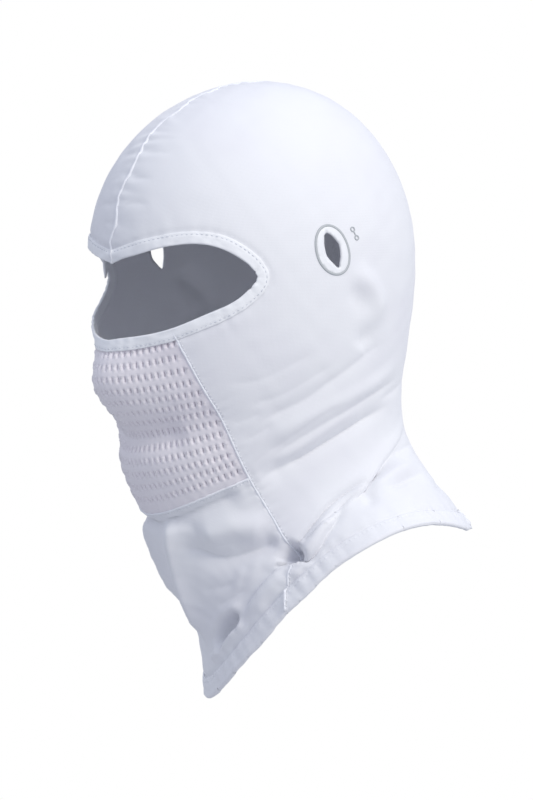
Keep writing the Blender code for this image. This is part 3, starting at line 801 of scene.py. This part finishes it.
def tube_faces(stations, size, start=0, closed=False):
    """Faces of a tube of point loops that follow each other, capped where it is open."""
    faces = []
    for station in range(stations if closed else stations - 1):
        here = start + station * size
        there = start + (station + 1) % stations * size
        faces.extend((here + j, here + (j + 1) % size, there + (j + 1) % size, there + j)
                     for j in range(size))
    if not closed:
        last = start + (stations - 1) * size
        faces += [tuple(range(start, start + size))[::-1], tuple(range(last, last + size))]
    return faces


def band(name, line, outline, material, side=1, closed=False, wave=None):
    """Solid strip along a pattern line; outline is a loop of (sideways, lift) points.

    wave(distance along, sideways, lift) may scale and shift the outline at each station.
    """
    outline = np.asarray(outline, float)
    count, size = len(line), len(outline)
    points, _, sideways = line_frame(line, side, closed)
    across = np.repeat(outline[None, :, 0], count, 0)
    lifts = np.repeat(outline[None, :, 1], count, 0)
    if wave is not None:
        across, lifts = wave(run_of(points)[:, None], across, lifts)
    places = slide(np.repeat(line[:, None], size, 1).reshape(-1, 2),
                   (sideways[:, None] * across[..., None]).reshape(-1, 3), side)
    return new_object(name, lay(places, lifts.ravel(), side),
                      flipped(tube_faces(count, size, 0, closed), side), material)


# ---------------------------------------------------------------- materials

def material_base(name, colour, roughness):
    """New Principled material."""
    material = bpy.data.materials.new(name)
    material.use_nodes = True
    shader = material.node_tree.nodes["Principled BSDF"]
    shader.inputs["Base Color"].default_value = (*colour, 1.0)
    shader.inputs["Roughness"].default_value = roughness
    return material, material.node_tree, shader


def add_node(tree, kind, links=(), **values):
    """New node with its links in, as pairs of socket and source, its properties and its socket values."""
    node = tree.nodes.new(kind)
    for key, value in values.items():
        if key in node.inputs:
            node.inputs[key].default_value = value
        else:
            setattr(node, key, value)
    for socket, source in links:
        tree.links.new(source, node.inputs[socket])
    return node


def add_bump(tree, shader, height, strength, distance):
    """Relief from a height."""
    bump = add_node(tree, "ShaderNodeBump", (("Height", height),), Strength=strength, Distance=distance)
    tree.links.new(bump.outputs["Normal"], shader.inputs["Normal"])


def knit_material(name, colour, shade, roughness=0.82, sheen=0.35, knit=0.18):
    """Fine knitted jersey: rows of loops, soft colour variation and a little fuzz."""
    material, tree, shader = material_base(name, colour, roughness)
    shader.inputs["Sheen Weight"].default_value = sheen
    shader.inputs["Sheen Roughness"].default_value = 0.45
    shader.inputs["Specular IOR Level"].default_value = 0.25
    where = add_node(tree, "ShaderNodeTexCoord")
    on_object = (("Vector", where.outputs["Object"]),)
    on_pattern = (("Vector", where.outputs["UV"]),)
    cloudy = add_node(tree, "ShaderNodeTexNoise", on_object, Scale=14.0, Detail=3.0, Roughness=0.55)
    fibres = add_node(tree, "ShaderNodeTexNoise", on_object, Scale=900.0, Detail=2.0, Roughness=0.6)
    ramp = add_node(tree, "ShaderNodeMapRange", (("Value", cloudy.outputs["Fac"]),))
    ramp.inputs["From Min"].default_value = 0.36
    ramp.inputs["From Max"].default_value = 0.56
    blend = add_node(tree, "ShaderNodeMix", ((0, ramp.outputs["Result"]),), data_type="RGBA")
    blend.inputs[6].default_value = (*shade, 1.0)
    blend.inputs[7].default_value = (*colour, 1.0)
    tree.links.new(blend.outputs[2], shader.inputs["Base Color"])
    wales = add_node(tree, "ShaderNodeTexWave", on_pattern, Scale=520.0, Distortion=0.6, Detail=1.0,
                     wave_type="BANDS", bands_direction="X")
    courses = add_node(tree, "ShaderNodeTexWave", on_pattern, Scale=420.0, Distortion=0.6, Detail=1.0,
                       wave_type="BANDS", bands_direction="Y")
    loops = add_node(tree, "ShaderNodeMath", ((0, wales.outputs["Fac"]), (1, courses.outputs["Fac"])),
                     operation="MULTIPLY")
    relief = add_node(tree, "ShaderNodeMath", ((0, loops.outputs[0]), (1, fibres.outputs["Fac"])),
                      operation="ADD")
    add_bump(tree, shader, relief.outputs[0], knit, 0.0003)
    return material


def grain_material(name, colour, roughness, scale, detail, strength, distance, sheen=0.0):
    """Even material with a fine grain."""
    material, tree, shader = material_base(name, colour, roughness)
    shader.inputs["Sheen Weight"].default_value = sheen
    where = add_node(tree, "ShaderNodeTexCoord")
    grain = add_node(tree, "ShaderNodeTexNoise", (("Vector", where.outputs["Object"]),), Scale=scale,
                     Detail=detail)
    add_bump(tree, shader, grain.outputs["Fac"], strength, distance)
    return material


def thread_material(name, colour):
    """Twisted polyester thread."""
    return grain_material(name, colour, 0.6, 2600.0, 1.0, 0.3, 0.0001, 0.2)


def film_material(name, colour, roughness):
    """Smooth bonded film with the knit just showing through."""
    return grain_material(name, colour, roughness, 1500.0, 2.0, 0.08, 0.0002)


JERSEY = knit_material("hood_jersey_white", (0.862, 0.869, 0.896), (0.832, 0.834, 0.872))
TAPE = knit_material("binding_white", (0.93, 0.94, 0.96), (0.905, 0.915, 0.94), 0.8, 0.3, 0.3)
MESH_CLOTH = knit_material("air_mesh_white", (0.900, 0.865, 0.900), (0.84, 0.80, 0.85), 0.85, 0.3, 0.3)
SEAM_WHITE = knit_material("seam_white", (0.90, 0.91, 0.945), (0.87, 0.885, 0.93), 0.75, 0.3, 0.3)
THREAD_WHITE = thread_material("thread_white", (0.90, 0.91, 0.945))
# Grey thread: painted shade. It stands for the shadow in the stitch dimples of the binding's white thread, so
# the stitches show as dark dashes.
THREAD_PAINTED_SHADE = thread_material("thread_grey_painted_shade", (0.70, 0.725, 0.77))
FILM_WHITE = film_material("film_white", (0.90, 0.91, 0.93), 0.42)
PRINT_GREY = film_material("print_grey", (0.50, 0.525, 0.54), 0.5)
LABEL_WHITE = film_material("label_white", (0.86, 0.87, 0.90), 0.6)


# ---------------------------------------------------------------- pieces

def tidy_loop(sections, side=1):
    """Even closed pattern loop from open lines that follow each other."""
    return np.vstack([even_line(section, OUTLINE_STEP, side)[:-1] for section in sections])


def frame_at(places, side=1):
    """Level and upright directions of the cloth at places."""
    across, upward = tangents(places, side, bare)
    across = unit(across)
    normal = unit(np.cross(across, upward))
    return across, np.cross(normal, across)


def port_frame(side):
    """Pattern place of the temple port, with the directions across and up its leaning oval."""
    centre = to_pattern((PORT_ANGLE, PORT_LEVEL))[None]
    (across,), (upright,) = frame_at(centre, side)
    wide = across * math.cos(PORT_LEAN) + upright * math.sin(PORT_LEAN)
    long = upright * math.cos(PORT_LEAN) - across * math.sin(PORT_LEAN)
    return centre, wide, long


def oval(half_width, half_length, count, side, pulled=False):
    """Oval pattern loop about the temple port, its top leaning towards the face."""
    centre, wide, long = port_frame(side)
    turn = np.linspace(0.0, 2 * math.pi, count, endpoint=False)
    part_wide, part_long = np.cos(turn), np.sin(turn)
    if pulled:
        part_wide = part_wide * (1.0 - 0.42 * part_long ** 2) + 0.10 * np.sin(2.0 * turn + 0.4)
        part_wide = part_wide + 0.035 * np.sin(5.0 * turn + 1.0) + 0.02 * np.sin(9.0 * turn)
    moves = wide * (half_width * part_wide)[:, None] + long * (half_length * part_long)[:, None]
    return slide(np.repeat(centre, count, 0), moves, side)


def slot_loop(side, grow=0.0):
    """The slot in the port, pulled a little out of true by the worn cloth."""
    return oval(SLOT_HALF_WIDTH + grow, SLOT_HALF_LENGTH + grow, 64, side, True)


def hem_edge(first, last, count):
    """Pattern line along the lower edge of the cloth, hidden in the hem."""
    return to_pattern(np.stack((np.linspace(first, last, count), np.full(count, HEM_LEVEL + 0.0006)), -1))


def make_side_panel(name, node, side):
    """Half of the hood."""
    centre = centre_line(side)
    hem = hem_edge(180.0, FRONT_LINE[-1][0], 90)
    front = to_pattern(smooth_line(FRONT_LINE)[::-1])
    eye = to_pattern(eye_line(True)[::-1])
    outline = tidy_loop([centre, np.vstack((centre[-1:], hem[1:])), front, np.vstack((eye[:-1], centre[:1]))],
                        side)
    item = cut_cloth(name, outline, JERSEY, side, [slot_loop(side)])
    stands_for(item, "hood_jersey", node)


def make_neck_panel():
    """Front of the neck, under the mesh."""
    left = to_pattern(front_line(False))
    right = to_pattern(mirrored(front_line(False)))[::-1]
    hem = hem_edge(FRONT_LINE[-1][0], -FRONT_LINE[-1][0], 80)
    chin = to_pattern(chin_line())[::-1]
    item = cut_cloth("neck_panel_cloth", tidy_loop([left, hem, right, chin]), JERSEY)
    stands_for(item, "hood_jersey", "front_neck_panel")


def mesh_row(part, across):
    """Angle and level of places on one mesh row: part 0 at the binding, 1 at the chin seam."""
    rail = front_line(True)
    middle = EYE_LINE[-1][1] + (CHIN_LEVEL - EYE_LINE[-1][1]) * part
    side_level = middle + np.interp(part, (0.0, 0.35, 0.75, 1.0), (0.0075, 0.0055, 0.0075, 0.0126))
    side_angle = np.interp(-side_level, -rail[:, 1], rail[:, 0])
    level = middle + (side_level - middle) * np.abs(across) ** 1.65
    return np.stack((side_angle * across, level), -1)


def mesh_places():
    """Centres of the mesh slots."""
    part = np.linspace(0.0, 1.0, 200)
    lengths = run_of(worn_points(*mesh_row(part, np.full(200, 0.45)).T))
    count = round(lengths[-1] / MESH_ROW)
    centres = []
    for row in range(count):
        at = float(np.interp((row + 0.75) / count * lengths[-1], lengths, part))
        across = np.linspace(0.0, 1.0, 160)
        run = run_of(worn_points(*mesh_row(np.full(160, at), across).T))
        wanted = np.arange(0.0 if row % 2 else MESH_COLUMN / 2, run[-1], MESH_COLUMN)
        part_across = np.interp(wanted, run, across)
        for keep in (part_across, -part_across[part_across > 1e-6]):
            centres.append(to_pattern(mesh_row(np.full(len(keep), at), keep)))
    return np.vstack(centres)


def around(centres, wide, long, parts_wide, parts_long, side=1):
    """Pattern places about every centre, at distances along its two directions."""
    moves = wide[:, None] * parts_wide[None, :, None] + long[:, None] * parts_long[None, :, None]
    base = np.repeat(centres[:, None], len(parts_long), 1)
    return slide(base.reshape(-1, 2), moves.reshape(-1, 3), side).reshape(base.shape)


def make_mesh_panel():
    """Air mesh over nose and mouth: a deep slot at every eyelet, closed by the fine inner layer."""
    left = to_pattern(front_line(True))
    chin = to_pattern(chin_line())
    right = to_pattern(mirrored(front_line(True)))[::-1]
    eye = to_pattern(np.vstack((mirrored(eye_line(False)), eye_line(False)[::-1][1:])))
    outline = tidy_loop([left, chin, right, eye])
    centres = mesh_places()
    centres = centres[is_inside(centres, outline)]
    centres = centres[loop_distance(centres, outline) > 0.0025]
    across, upright = frame_at(centres)
    sign = np.where(centres[:, :1] > -PATTERN_RADIUS * math.pi / 2, 1.0, -1.0)
    long = upright * math.cos(MESH_TILT) - across * sign * math.sin(MESH_TILT)
    wide = across * math.cos(MESH_TILT) + upright * sign * math.sin(MESH_TILT)
    turn = np.linspace(0.0, 2 * math.pi, 12, endpoint=False)
    round_wide = np.sign(np.cos(turn)) * np.abs(np.cos(turn)) ** 0.7
    round_long = np.sign(np.sin(turn)) * np.abs(np.sin(turn)) ** 0.85

    def rings(half_width, half_height):
        """A loop about every centre."""
        return around(centres, wide, long, half_width * round_wide, half_height * round_long)

    slots = rings(MESH_SLOT_WIDTH / 2, MESH_SLOT_HEIGHT / 2)
    collars = rings(MESH_SLOT_WIDTH / 2 + 0.00045, MESH_SLOT_HEIGHT / 2 + 0.0005)
    crests = around(centres, wide, long, np.full(3, MESH_COLUMN / 2), np.array((-0.0012, 0.0, 0.0012)))
    floors = rings(MESH_SLOT_WIDTH * 0.24, MESH_SLOT_HEIGHT * 0.36)
    blocks = [collars.reshape(-1, 2), crests.reshape(-1, 2), grid_inside(outline, MESH_GRID),
              floors.reshape(-1, 2)]
    kinds = np.concatenate([np.full(len(block), kind) for kind, block in enumerate(blocks)])
    inner = np.vstack(blocks)
    keep = is_inside(inner, outline) & (loop_distance(inner, outline) > 0.0007)
    is_between = (kinds == CREST) | (kinds == PLAIN)
    keep &= ~is_between | (nearest(inner, collars.reshape(-1, 2)) > 0.0005)
    for loop in collars:
        near = np.flatnonzero(is_between & (np.abs(inner - loop.mean(axis=0)).max(axis=1) < 0.004))
        keep[near] &= ~is_inside(inner[near], loop)
    inner, kinds = inner[keep], kinds[keep]
    places, faces, source = triangulate(outline, list(slots), inner, False)
    # the lift of every place goes by its source: outline, slot edges, then the kinds of inner places
    given = np.concatenate((np.zeros(len(outline)), np.full(slots[..., 0].size, SLOT_EDGE_LIFT),
                            np.array(MESH_LIFTS)[kinds]))
    lift = np.where(source >= 0, given[source], 0.0)
    item = new_sheet("face_mesh_cloth", places, faces.tolist(), MESH_CLOTH, 1, lift, 0.0005)
    stands_for(item, "air_mesh", "mesh_face_panel")


def folded_edge(outer, inner, lift, gap):
    """Cross-section of a strip folded over an edge: outer layer, rounded fold, inner layer."""
    fold = -inner + lift
    turn = np.linspace(math.pi / 2, -math.pi / 2, 9)
    outline = [(outer, gap), (outer + 0.00005, gap + 0.00025), (outer - 0.0002, lift - 0.00012)]
    outline += [(s, lift) for s in np.linspace(outer - 0.0006, fold + 0.0004, 11)]
    outline += [(fold - lift * math.cos(a), lift * math.sin(a)) for a in turn]
    outline += [(s, -lift) for s in np.linspace(fold + 0.0006, outer - 0.0008, 5)]
    outline += [(outer - 0.0004, -lift + 0.0001), (outer - 0.0004, -gap)]
    outline += [(s, -gap) for s in np.linspace(outer - 0.0012, fold + 0.0010, 4)]
    outline += [(s, gap) for s in np.linspace(fold + 0.0010, outer - 0.0012, 4)]
    return outline


def make_eye_binding():
    """Folded strip round the eye opening."""
    half = BINDING_WIDTH / 2
    line = eye_loop(LINE_STEP)
    outline = folded_edge(half, half, 0.00085, 0.00048)
    to_corner = cut_line(EYE_LINE, EYE_CORNER_KEY, True)
    corner = line_length(even_line(to_pattern(to_corner), LINE_STEP))
    line_total = line_length(np.vstack((line, line[:1])))

    def wave(distance, across, lifts):
        """Unevenness of a hand-guided strip, with needle dimples and crinkles at the outer corners."""
        top = lifts > 0.0007
        stitch = np.cos(math.pi * distance / STITCH_PITCH) ** 2
        groove = np.exp(-((across - (half - 0.0013)) / 0.00045) ** 2) * top
        lifts = lifts - 0.00034 * groove * (0.45 + 0.55 * stitch)
        roll = np.sin(distance / 0.0061 + 1.3 * np.sin(distance / 0.017))
        free = np.clip(-across / half, 0.0, 1.0)
        across = across + 0.00022 * roll * free
        lifts = lifts + 0.00010 * top * np.sin(distance / 0.0037 + 2.0 * across / half)
        for place in (corner - 0.0065, corner - 0.0020, corner + 0.0030, corner + 0.0085):
            for mark in (place, line_total - place):
                fold = np.exp(-((distance - mark - 0.25 * across) / 0.00075) ** 2)
                lifts = lifts - 0.00055 * fold * top * (0.35 + 0.65 * free)
                across = across + 0.00055 * fold * free
        return across, lifts

    item = band("eye_binding_strip", line, outline, TAPE, 1, True, wave)
    stands_for(item, "binding_tape", "eye_binding")
    row = shifted(line, half - 0.0013, 1, True)
    # The binding's stitches take the grey thread with painted shade in place of the shadow of their dimples.
    make_stitches("eye_binding_stitch_line", "eye_binding_stitching", row, 0.00062, closed=True,
                  material=THREAD_PAINTED_SHADE)
    make_eye_join()


def make_eye_join():
    """Overlap where the binding's ends meet at the middle of the forehead."""
    level = EYE_LINE[0][1]
    reach = BINDING_WIDTH / 2 + 0.0002
    line = to_pattern(np.stack((np.full(9, 0.9), np.linspace(level - reach, level + reach, 9)), -1))
    outline = [(0.0009, 0.0008), (0.0006, 0.00118), (0.0, 0.00128), (-0.0006, 0.00118), (-0.0009, 0.0008)]

    def wave(distance, across, lifts):
        """Narrower at the free edge."""
        return across * (0.75 + 0.25 * np.sin(distance / 0.0016)), lifts

    item = band("eye_binding_overlap", line, outline, TAPE, 1, False, wave)
    stands_for(item, "binding_tape", "eye_binding_join")


def make_hem():
    """Hem turned up double round the neck."""
    half = HEM_WIDTH / 2
    line = hem_line(np.linspace(-180.0, 180.0, 720, endpoint=False), half)
    outline = folded_edge(half, half, 0.00145, 0.00052)
    total = line_length(np.vstack((line, line[:1])))

    def wave(distance, across, lifts):
        """Stitch dimples, and a loose rolled free edge."""
        top = lifts > 0.0009
        stitch = np.cos(math.pi * distance / STITCH_PITCH) ** 2
        groove = np.exp(-((across - (half - 0.0019)) / 0.0006) ** 2) * top
        second = np.exp(-((across - (half - 0.0062)) / 0.0008) ** 2) * top
        lifts = lifts - 0.00042 * groove * (0.4 + 0.6 * stitch) - 0.00018 * second
        loose = np.sin(distance / 0.0083 + 1.6 * np.sin(distance / 0.031))
        free = np.clip(-across / half, 0.0, 1.0)
        return across + 0.00045 * loose * free, lifts + 0.00022 * loose * top * free

    item = band("hem_strip", line, outline, JERSEY, 1, True, wave)
    stands_for(item, "hem_jersey", "hem_band")
    row = shifted(line, half - 0.0019, 1, True)
    make_stitches("hem_stitch_line", "hem_stitching", row, 0.00112, closed=True)
    make_hem_join()


def make_hem_join():
    """Bunched ends of the hem, sewn together at the nape."""
    reach = HEM_WIDTH / 2
    middle = hem_top(np.array((180.0,)), HEM_WIDTH / 2)[0]
    levels = np.linspace(middle - reach - 0.0004, middle + reach, 15)
    line = to_pattern(np.stack((np.full(15, 178.6), levels), -1))
    turn = np.linspace(0.0, 2 * math.pi, 18, endpoint=False)
    outline = [(0.0030 * math.cos(a), 0.0010 + 0.0018 * math.sin(a)) for a in turn]

    def wave(distance, across, lifts):
        """Knotted, uneven lump."""
        size = 0.78 + 0.22 * np.sin(distance / 0.0009) + 0.12 * np.sin(distance / 0.0023 + 1.0)
        knobs = 0.00022 * np.sin(distance / 0.0007 + across / 0.0006)
        return across * size, 0.0010 + (lifts - 0.0010) * size + knobs

    item = band("hem_bunched_ends", line, outline, JERSEY, 1, False, wave)
    stands_for(item, "hem_jersey", "hem_join")


def make_stitches(name, node, line, lift, side=1, closed=False, material=None):
    """Row of separate stitches along a line."""
    lay_stitches(name, node, line, lift, STITCH_PITCH, 0.33 * STITCH_PITCH, 0.00022, side, closed, False,
                 material or THREAD_WHITE)


def make_ticks(name, node, line, lift=TICK_LIFT, pitch=TICK_PITCH, radius=TICK_RADIUS, side=1,
               over_hem=False):
    """Row of separate stitches across a line."""
    lay_stitches(name, node, line, lift, pitch, TICK_REACH, radius, side, False, True, THREAD_WHITE, over_hem)


def lay_stitches(name, node, line, lift, pitch, reach, radius, side, closed, is_across, material,
                 over_hem=False):
    """Row of little arched threads of a half length and a radius, along a line or across it."""
    length = line_length(np.vstack((line, line[:1])) if closed else line, side)
    even = even_line(line, length / max(2, round(length / pitch)) / 8, side, closed)
    _, along, sideways = line_frame(even, side, closed)
    marks = np.arange(4, len(even) - 4, 8)
    middles = even[marks]
    arch = np.array((-0.0003, 0.00006, 0.00012, 0.00006, -0.0003))
    stations, size = len(arch), 6
    turn = np.linspace(0.0, 2 * math.pi, size, endpoint=False)
    ahead, beside = (sideways, along) if is_across else (along, sideways)
    skew = 0.12 * np.sin(np.arange(len(marks)) * 2.4)
    beside = beside[marks]
    ahead = unit(ahead[marks] + beside * skew[:, None])
    forward = np.repeat(reach * np.linspace(-1.0, 1.0, stations), size)
    places = around(middles, ahead, beside, forward, np.tile(radius * np.cos(turn), stations), side)
    climb = hem_climb(middles) if over_hem else np.zeros(len(marks))
    lifts = lift + climb[:, None] + np.repeat(arch, size) + np.tile(radius * np.sin(turn), stations)
    faces = []
    for number in range(len(marks)):
        faces += tube_faces(stations, size, number * stations * size)
    item = new_object(name, lay(places.reshape(-1, 2), lifts.ravel(), side), faces, material)
    stands_for(item, "sewing_thread", node)


def seam_outline(width, height):
    """Low rounded ridge."""
    turn = np.linspace(0.0, math.pi, 7)
    top = [(width / 2 * math.cos(a), 0.0003 + height * math.sin(a)) for a in turn]
    return top + [(-width / 2, -0.0005), (width / 2, -0.0005)]


def hem_climb(places):
    """How far a seam has to rise to lie over the hem band."""
    angle, level = from_pattern(places)
    return HEM_CLIMB * smoothstep((hem_top(angle) + 0.0022 - level) / 0.0016)


def make_seam(name, node, line, side=1, width=SEAM_WIDTH, height=0.00055):
    """Flat seam as a thin raised ridge."""
    even = even_line(line, LINE_STEP, side)
    climb = hem_climb(even)[:, None]

    def wave(distance, across, lifts):
        """Uneven tension along the seam."""
        size = 1.0 + 0.16 * np.sin(distance / 0.0009 + 1.2 * np.sin(distance / 0.007))
        return across * size, lifts * (1.0 + 0.10 * np.sin(distance / 0.0013)) + climb

    item = band(name, even, seam_outline(width, height), SEAM_WHITE, side, False, wave)
    stands_for(item, "seam_tape", node)


def make_seams():
    """Centre seam, the seam under the mesh and the two front seams, with their stitches."""
    centre = centre_line(1)
    make_seam("centre_seam_ridge", "centre_seam", centre, 1, SEAM_WIDTH, 0.0008)
    make_ticks("centre_seam_ticks", "centre_seam_stitching", centre, 0.00072, 0.0021, 0.00016)
    chin = to_pattern(chin_line())
    make_seam("mesh_bottom_ridge", "mesh_bottom_seam", chin, 1, 0.0013, 0.0006)
    below = shifted(even_line(chin, LINE_STEP), TICKS_BESIDE)
    make_ticks("mesh_bottom_ticks", "mesh_bottom_seam_stitching", below)
    for side, hand in ((1, "left"), (-1, "right")):
        front = to_pattern(smooth_line(FRONT_LINE))[:-1]
        make_seam("front_ridge_" + hand, "front_seam_" + hand, front, side, 0.0012, 0.00055)
        beside = shifted(even_line(front, LINE_STEP, side), TICKS_BESIDE, side)
        make_ticks("front_seam_ticks_" + hand, "front_seam_stitching_" + hand, beside, side=side,
                   over_hem=True)


def make_port(hand, side):
    """Bonded film with a slot, a printed ring and a two-ring sign at one temple."""
    half_width = PORT_HALF_WIDTH - PORT_RING_WIDTH / 2
    half_length = PORT_HALF_LENGTH - PORT_RING_WIDTH / 2
    on_top = CLOTH / 2 + 0.00012
    patch = cut_cloth("port_film_" + hand, oval(half_width, half_length, 72, side), FILM_WHITE, side,
                      [slot_loop(side, 0.0001)], 0.0014, on_top, 0.00022, False)
    stands_for(patch, "port_film", "port_patch_" + hand)
    ring = band("port_ring_print_" + hand, oval(half_width, half_length, 120, side),
                print_outline(PORT_RING_WIDTH, on_top), PRINT_GREY, side, True)
    stands_for(ring, "port_print", "port_ring_" + hand)
    make_symbol(hand, side, on_top)


def print_outline(width, on_top):
    """Thin printed line, slightly domed."""
    half = width / 2
    return [(half, on_top - 0.0002), (half * 0.8, on_top + 0.00026), (0.0, on_top + 0.00032),
            (-half * 0.8, on_top + 0.00026), (-half, on_top - 0.0002)]


def make_symbol(hand, side, on_top):
    """Two small rings joined by a bar, printed behind the port."""
    centre, wide, long = port_frame(side)

    def at(a, b):
        """Pattern places from flat sign coordinates."""
        moves = wide * (SYMBOL_BEHIND - 0.15 * a + b)[:, None] + long * (a + 0.003)[:, None]
        return slide(np.repeat(centre, len(a), 0), moves, side)

    turn = np.linspace(0.0, 2 * math.pi, 40, endpoint=False)
    middle = (SYMBOL_RADIUS + SYMBOL_HOLE) / 2
    outline = print_outline(SYMBOL_RADIUS - SYMBOL_HOLE, on_top)
    pieces = []
    for end in (1, -1):
        line = at(end * SYMBOL_REACH + middle * np.cos(turn), -middle * np.sin(turn))
        pieces.append(band("sign_ring", line, outline, PRINT_GREY, side, True))
    bar = np.linspace(-1.0, 1.0, 6) * (SYMBOL_REACH - middle)
    pieces.append(band("sign_bar", at(bar, 0 * bar), outline, PRINT_GREY, side))
    stands_for(join(pieces, "port_sign_" + hand), "port_print", "port_symbol_" + hand)


def join(pieces, name):
    """One object from several pieces of the same material."""
    points, faces = [], []
    for piece in pieces:
        start = len(points)
        points.extend(tuple(vertex.co) for vertex in piece.data.vertices)
        faces.extend(tuple(start + i for i in face.vertices) for face in piece.data.polygons)
        material = piece.data.materials[0]
        mesh = piece.data
        bpy.data.objects.remove(piece)
        bpy.data.meshes.remove(mesh)
    return new_object(name, points, faces, material)


def make_label():
    """Blank care label inside the nape, beside the centre seam."""
    levels = LABEL_LEVEL + LABEL_HEIGHT * np.linspace(-0.5, 0.5, 13)
    line = to_pattern(np.stack((np.full(13, LABEL_ANGLE), levels), -1))
    half = LABEL_WIDTH / 2
    under = -0.0012
    outline = [(s, under) for s in np.linspace(half, -half, 9)]
    outline += [(s, under - 0.0003) for s in np.linspace(-half, half, 9)]

    def wave(distance, across, lifts):
        """Slightly curled free edges."""
        return across, lifts - 0.0007 * (across / half) ** 2 - 0.0006 * (distance / LABEL_HEIGHT) ** 2

    item = band("care_label_blank", line, outline, LABEL_WHITE, 1, False, wave)
    stands_for(item, "label_tape", "care_label")


make_side_panel("left_panel_cloth", "left_side_panel", 1)
make_side_panel("right_panel_cloth", "right_side_panel", -1)
make_neck_panel()
make_mesh_panel()
make_eye_binding()
make_hem()
make_seams()
make_port("left", 1)
make_port("right", -1)
make_label()


# ---------------------------------------------------------------- floor, light and camera

CAMERA_YAW = math.radians(52.0)
CAMERA_RISE = math.radians(2.0)
CAMERA_DISTANCE = 1.90
AIM_RIGHT = 0.0070
AIM_DOWN = 0.0762
LENS_MM = 154.0
LIGHT_AIM = Vector((0.0, 0.0, -0.05))
FLOOR_LEVEL = -0.62
FLOOR_RADIUS = 1.5
# brightness of the surroundings: even part, and parts that lean to the camera's right and upwards
SKY_EVEN = 0.63
SKY_RIGHT = 0.10
SKY_UP = 0.42
SKY_TINT = (0.82, 0.865, 1.0, 1.0)
WHITE = (1.0, 1.0, 1.0, 1.0)


def make_camera():
    """Long lens at head height, on the wearer's front left."""
    back = Vector((math.sin(CAMERA_YAW) * math.cos(CAMERA_RISE),
                   -math.cos(CAMERA_YAW) * math.cos(CAMERA_RISE), math.sin(CAMERA_RISE)))
    right = Vector((math.cos(CAMERA_YAW), math.sin(CAMERA_YAW), 0.0))
    up = back.cross(right)
    data = bpy.data.cameras.new("camera")
    data.lens = LENS_MM
    data.clip_end = 60.0
    item = bpy.data.objects.new("camera", data)
    item.matrix_world = Matrix.Translation(right * AIM_RIGHT - up * AIM_DOWN + back * CAMERA_DISTANCE) \
        @ Matrix((right, up, back)).transposed().to_4x4()
    bpy.context.scene.collection.objects.link(item)
    bpy.context.scene.camera = item


def make_light(name, place, size, power, colour):
    """Soft square light aimed at the hood."""
    data = bpy.data.lights.new(name, "AREA")
    data.shape = "SQUARE"
    data.size = size
    data.energy = power
    data.color = colour
    item = bpy.data.objects.new(name, data)
    item.location = place
    item.rotation_euler = (LIGHT_AIM - Vector(place)).to_track_quat("-Z", "Y").to_euler()
    bpy.context.scene.collection.objects.link(item)


def make_stage():
    """Pale floor well under the hood, white surroundings and a soft light."""
    count = 48
    rings = [(size * math.cos(a), size * math.sin(a), FLOOR_LEVEL)
             for size in (FLOOR_RADIUS / 2, FLOOR_RADIUS)
             for a in np.linspace(0.0, 2 * math.pi, count, endpoint=False)]
    faces = [tuple(range(count))]
    faces += [(i, count + i, count + (i + 1) % count, (i + 1) % count) for i in range(count)]
    pale = grain_material("floor_pale", (0.50, 0.505, 0.52), 0.9, 60.0, 2.0, 0.02, 0.001)
    new_object("floor", rings, faces, pale, False)
    make_light("key", (2.36, 0.14, 1.47), 1.1, 33.5, (1.0, 0.955, 0.85))
    bpy.context.scene.view_settings.view_transform = "Standard"
    make_surroundings()


def make_surroundings():
    """Bluish light, brighter from above and from the camera's right; plain white to the camera."""
    world = bpy.data.worlds.new("studio")
    bpy.context.scene.world = world
    world.use_nodes = True
    tree = world.node_tree
    background = tree.nodes["Background"]
    where = add_node(tree, "ShaderNodeTexCoord")
    lean = add_node(tree, "ShaderNodeVectorMath", ((0, where.outputs["Generated"]),), operation="DOT_PRODUCT")
    lean.inputs[1].default_value = (SKY_RIGHT * math.cos(CAMERA_YAW), SKY_RIGHT * math.sin(CAMERA_YAW),
                                    SKY_UP)
    level = add_node(tree, "ShaderNodeMath", ((0, lean.outputs["Value"]),), operation="ADD")
    level.inputs[1].default_value = SKY_EVEN
    to_camera = add_node(tree, "ShaderNodeLightPath").outputs["Is Camera Ray"]
    strength = add_node(tree, "ShaderNodeMix", ((0, to_camera), (2, level.outputs[0])), data_type="FLOAT")
    strength.inputs[3].default_value = 1.0
    tree.links.new(strength.outputs[0], background.inputs["Strength"])
    tint = add_node(tree, "ShaderNodeMix", ((0, to_camera),), data_type="RGBA")
    tint.inputs[6].default_value = SKY_TINT
    tint.inputs[7].default_value = WHITE
    tree.links.new(tint.outputs[2], background.inputs["Color"])


make_camera()
make_stage()
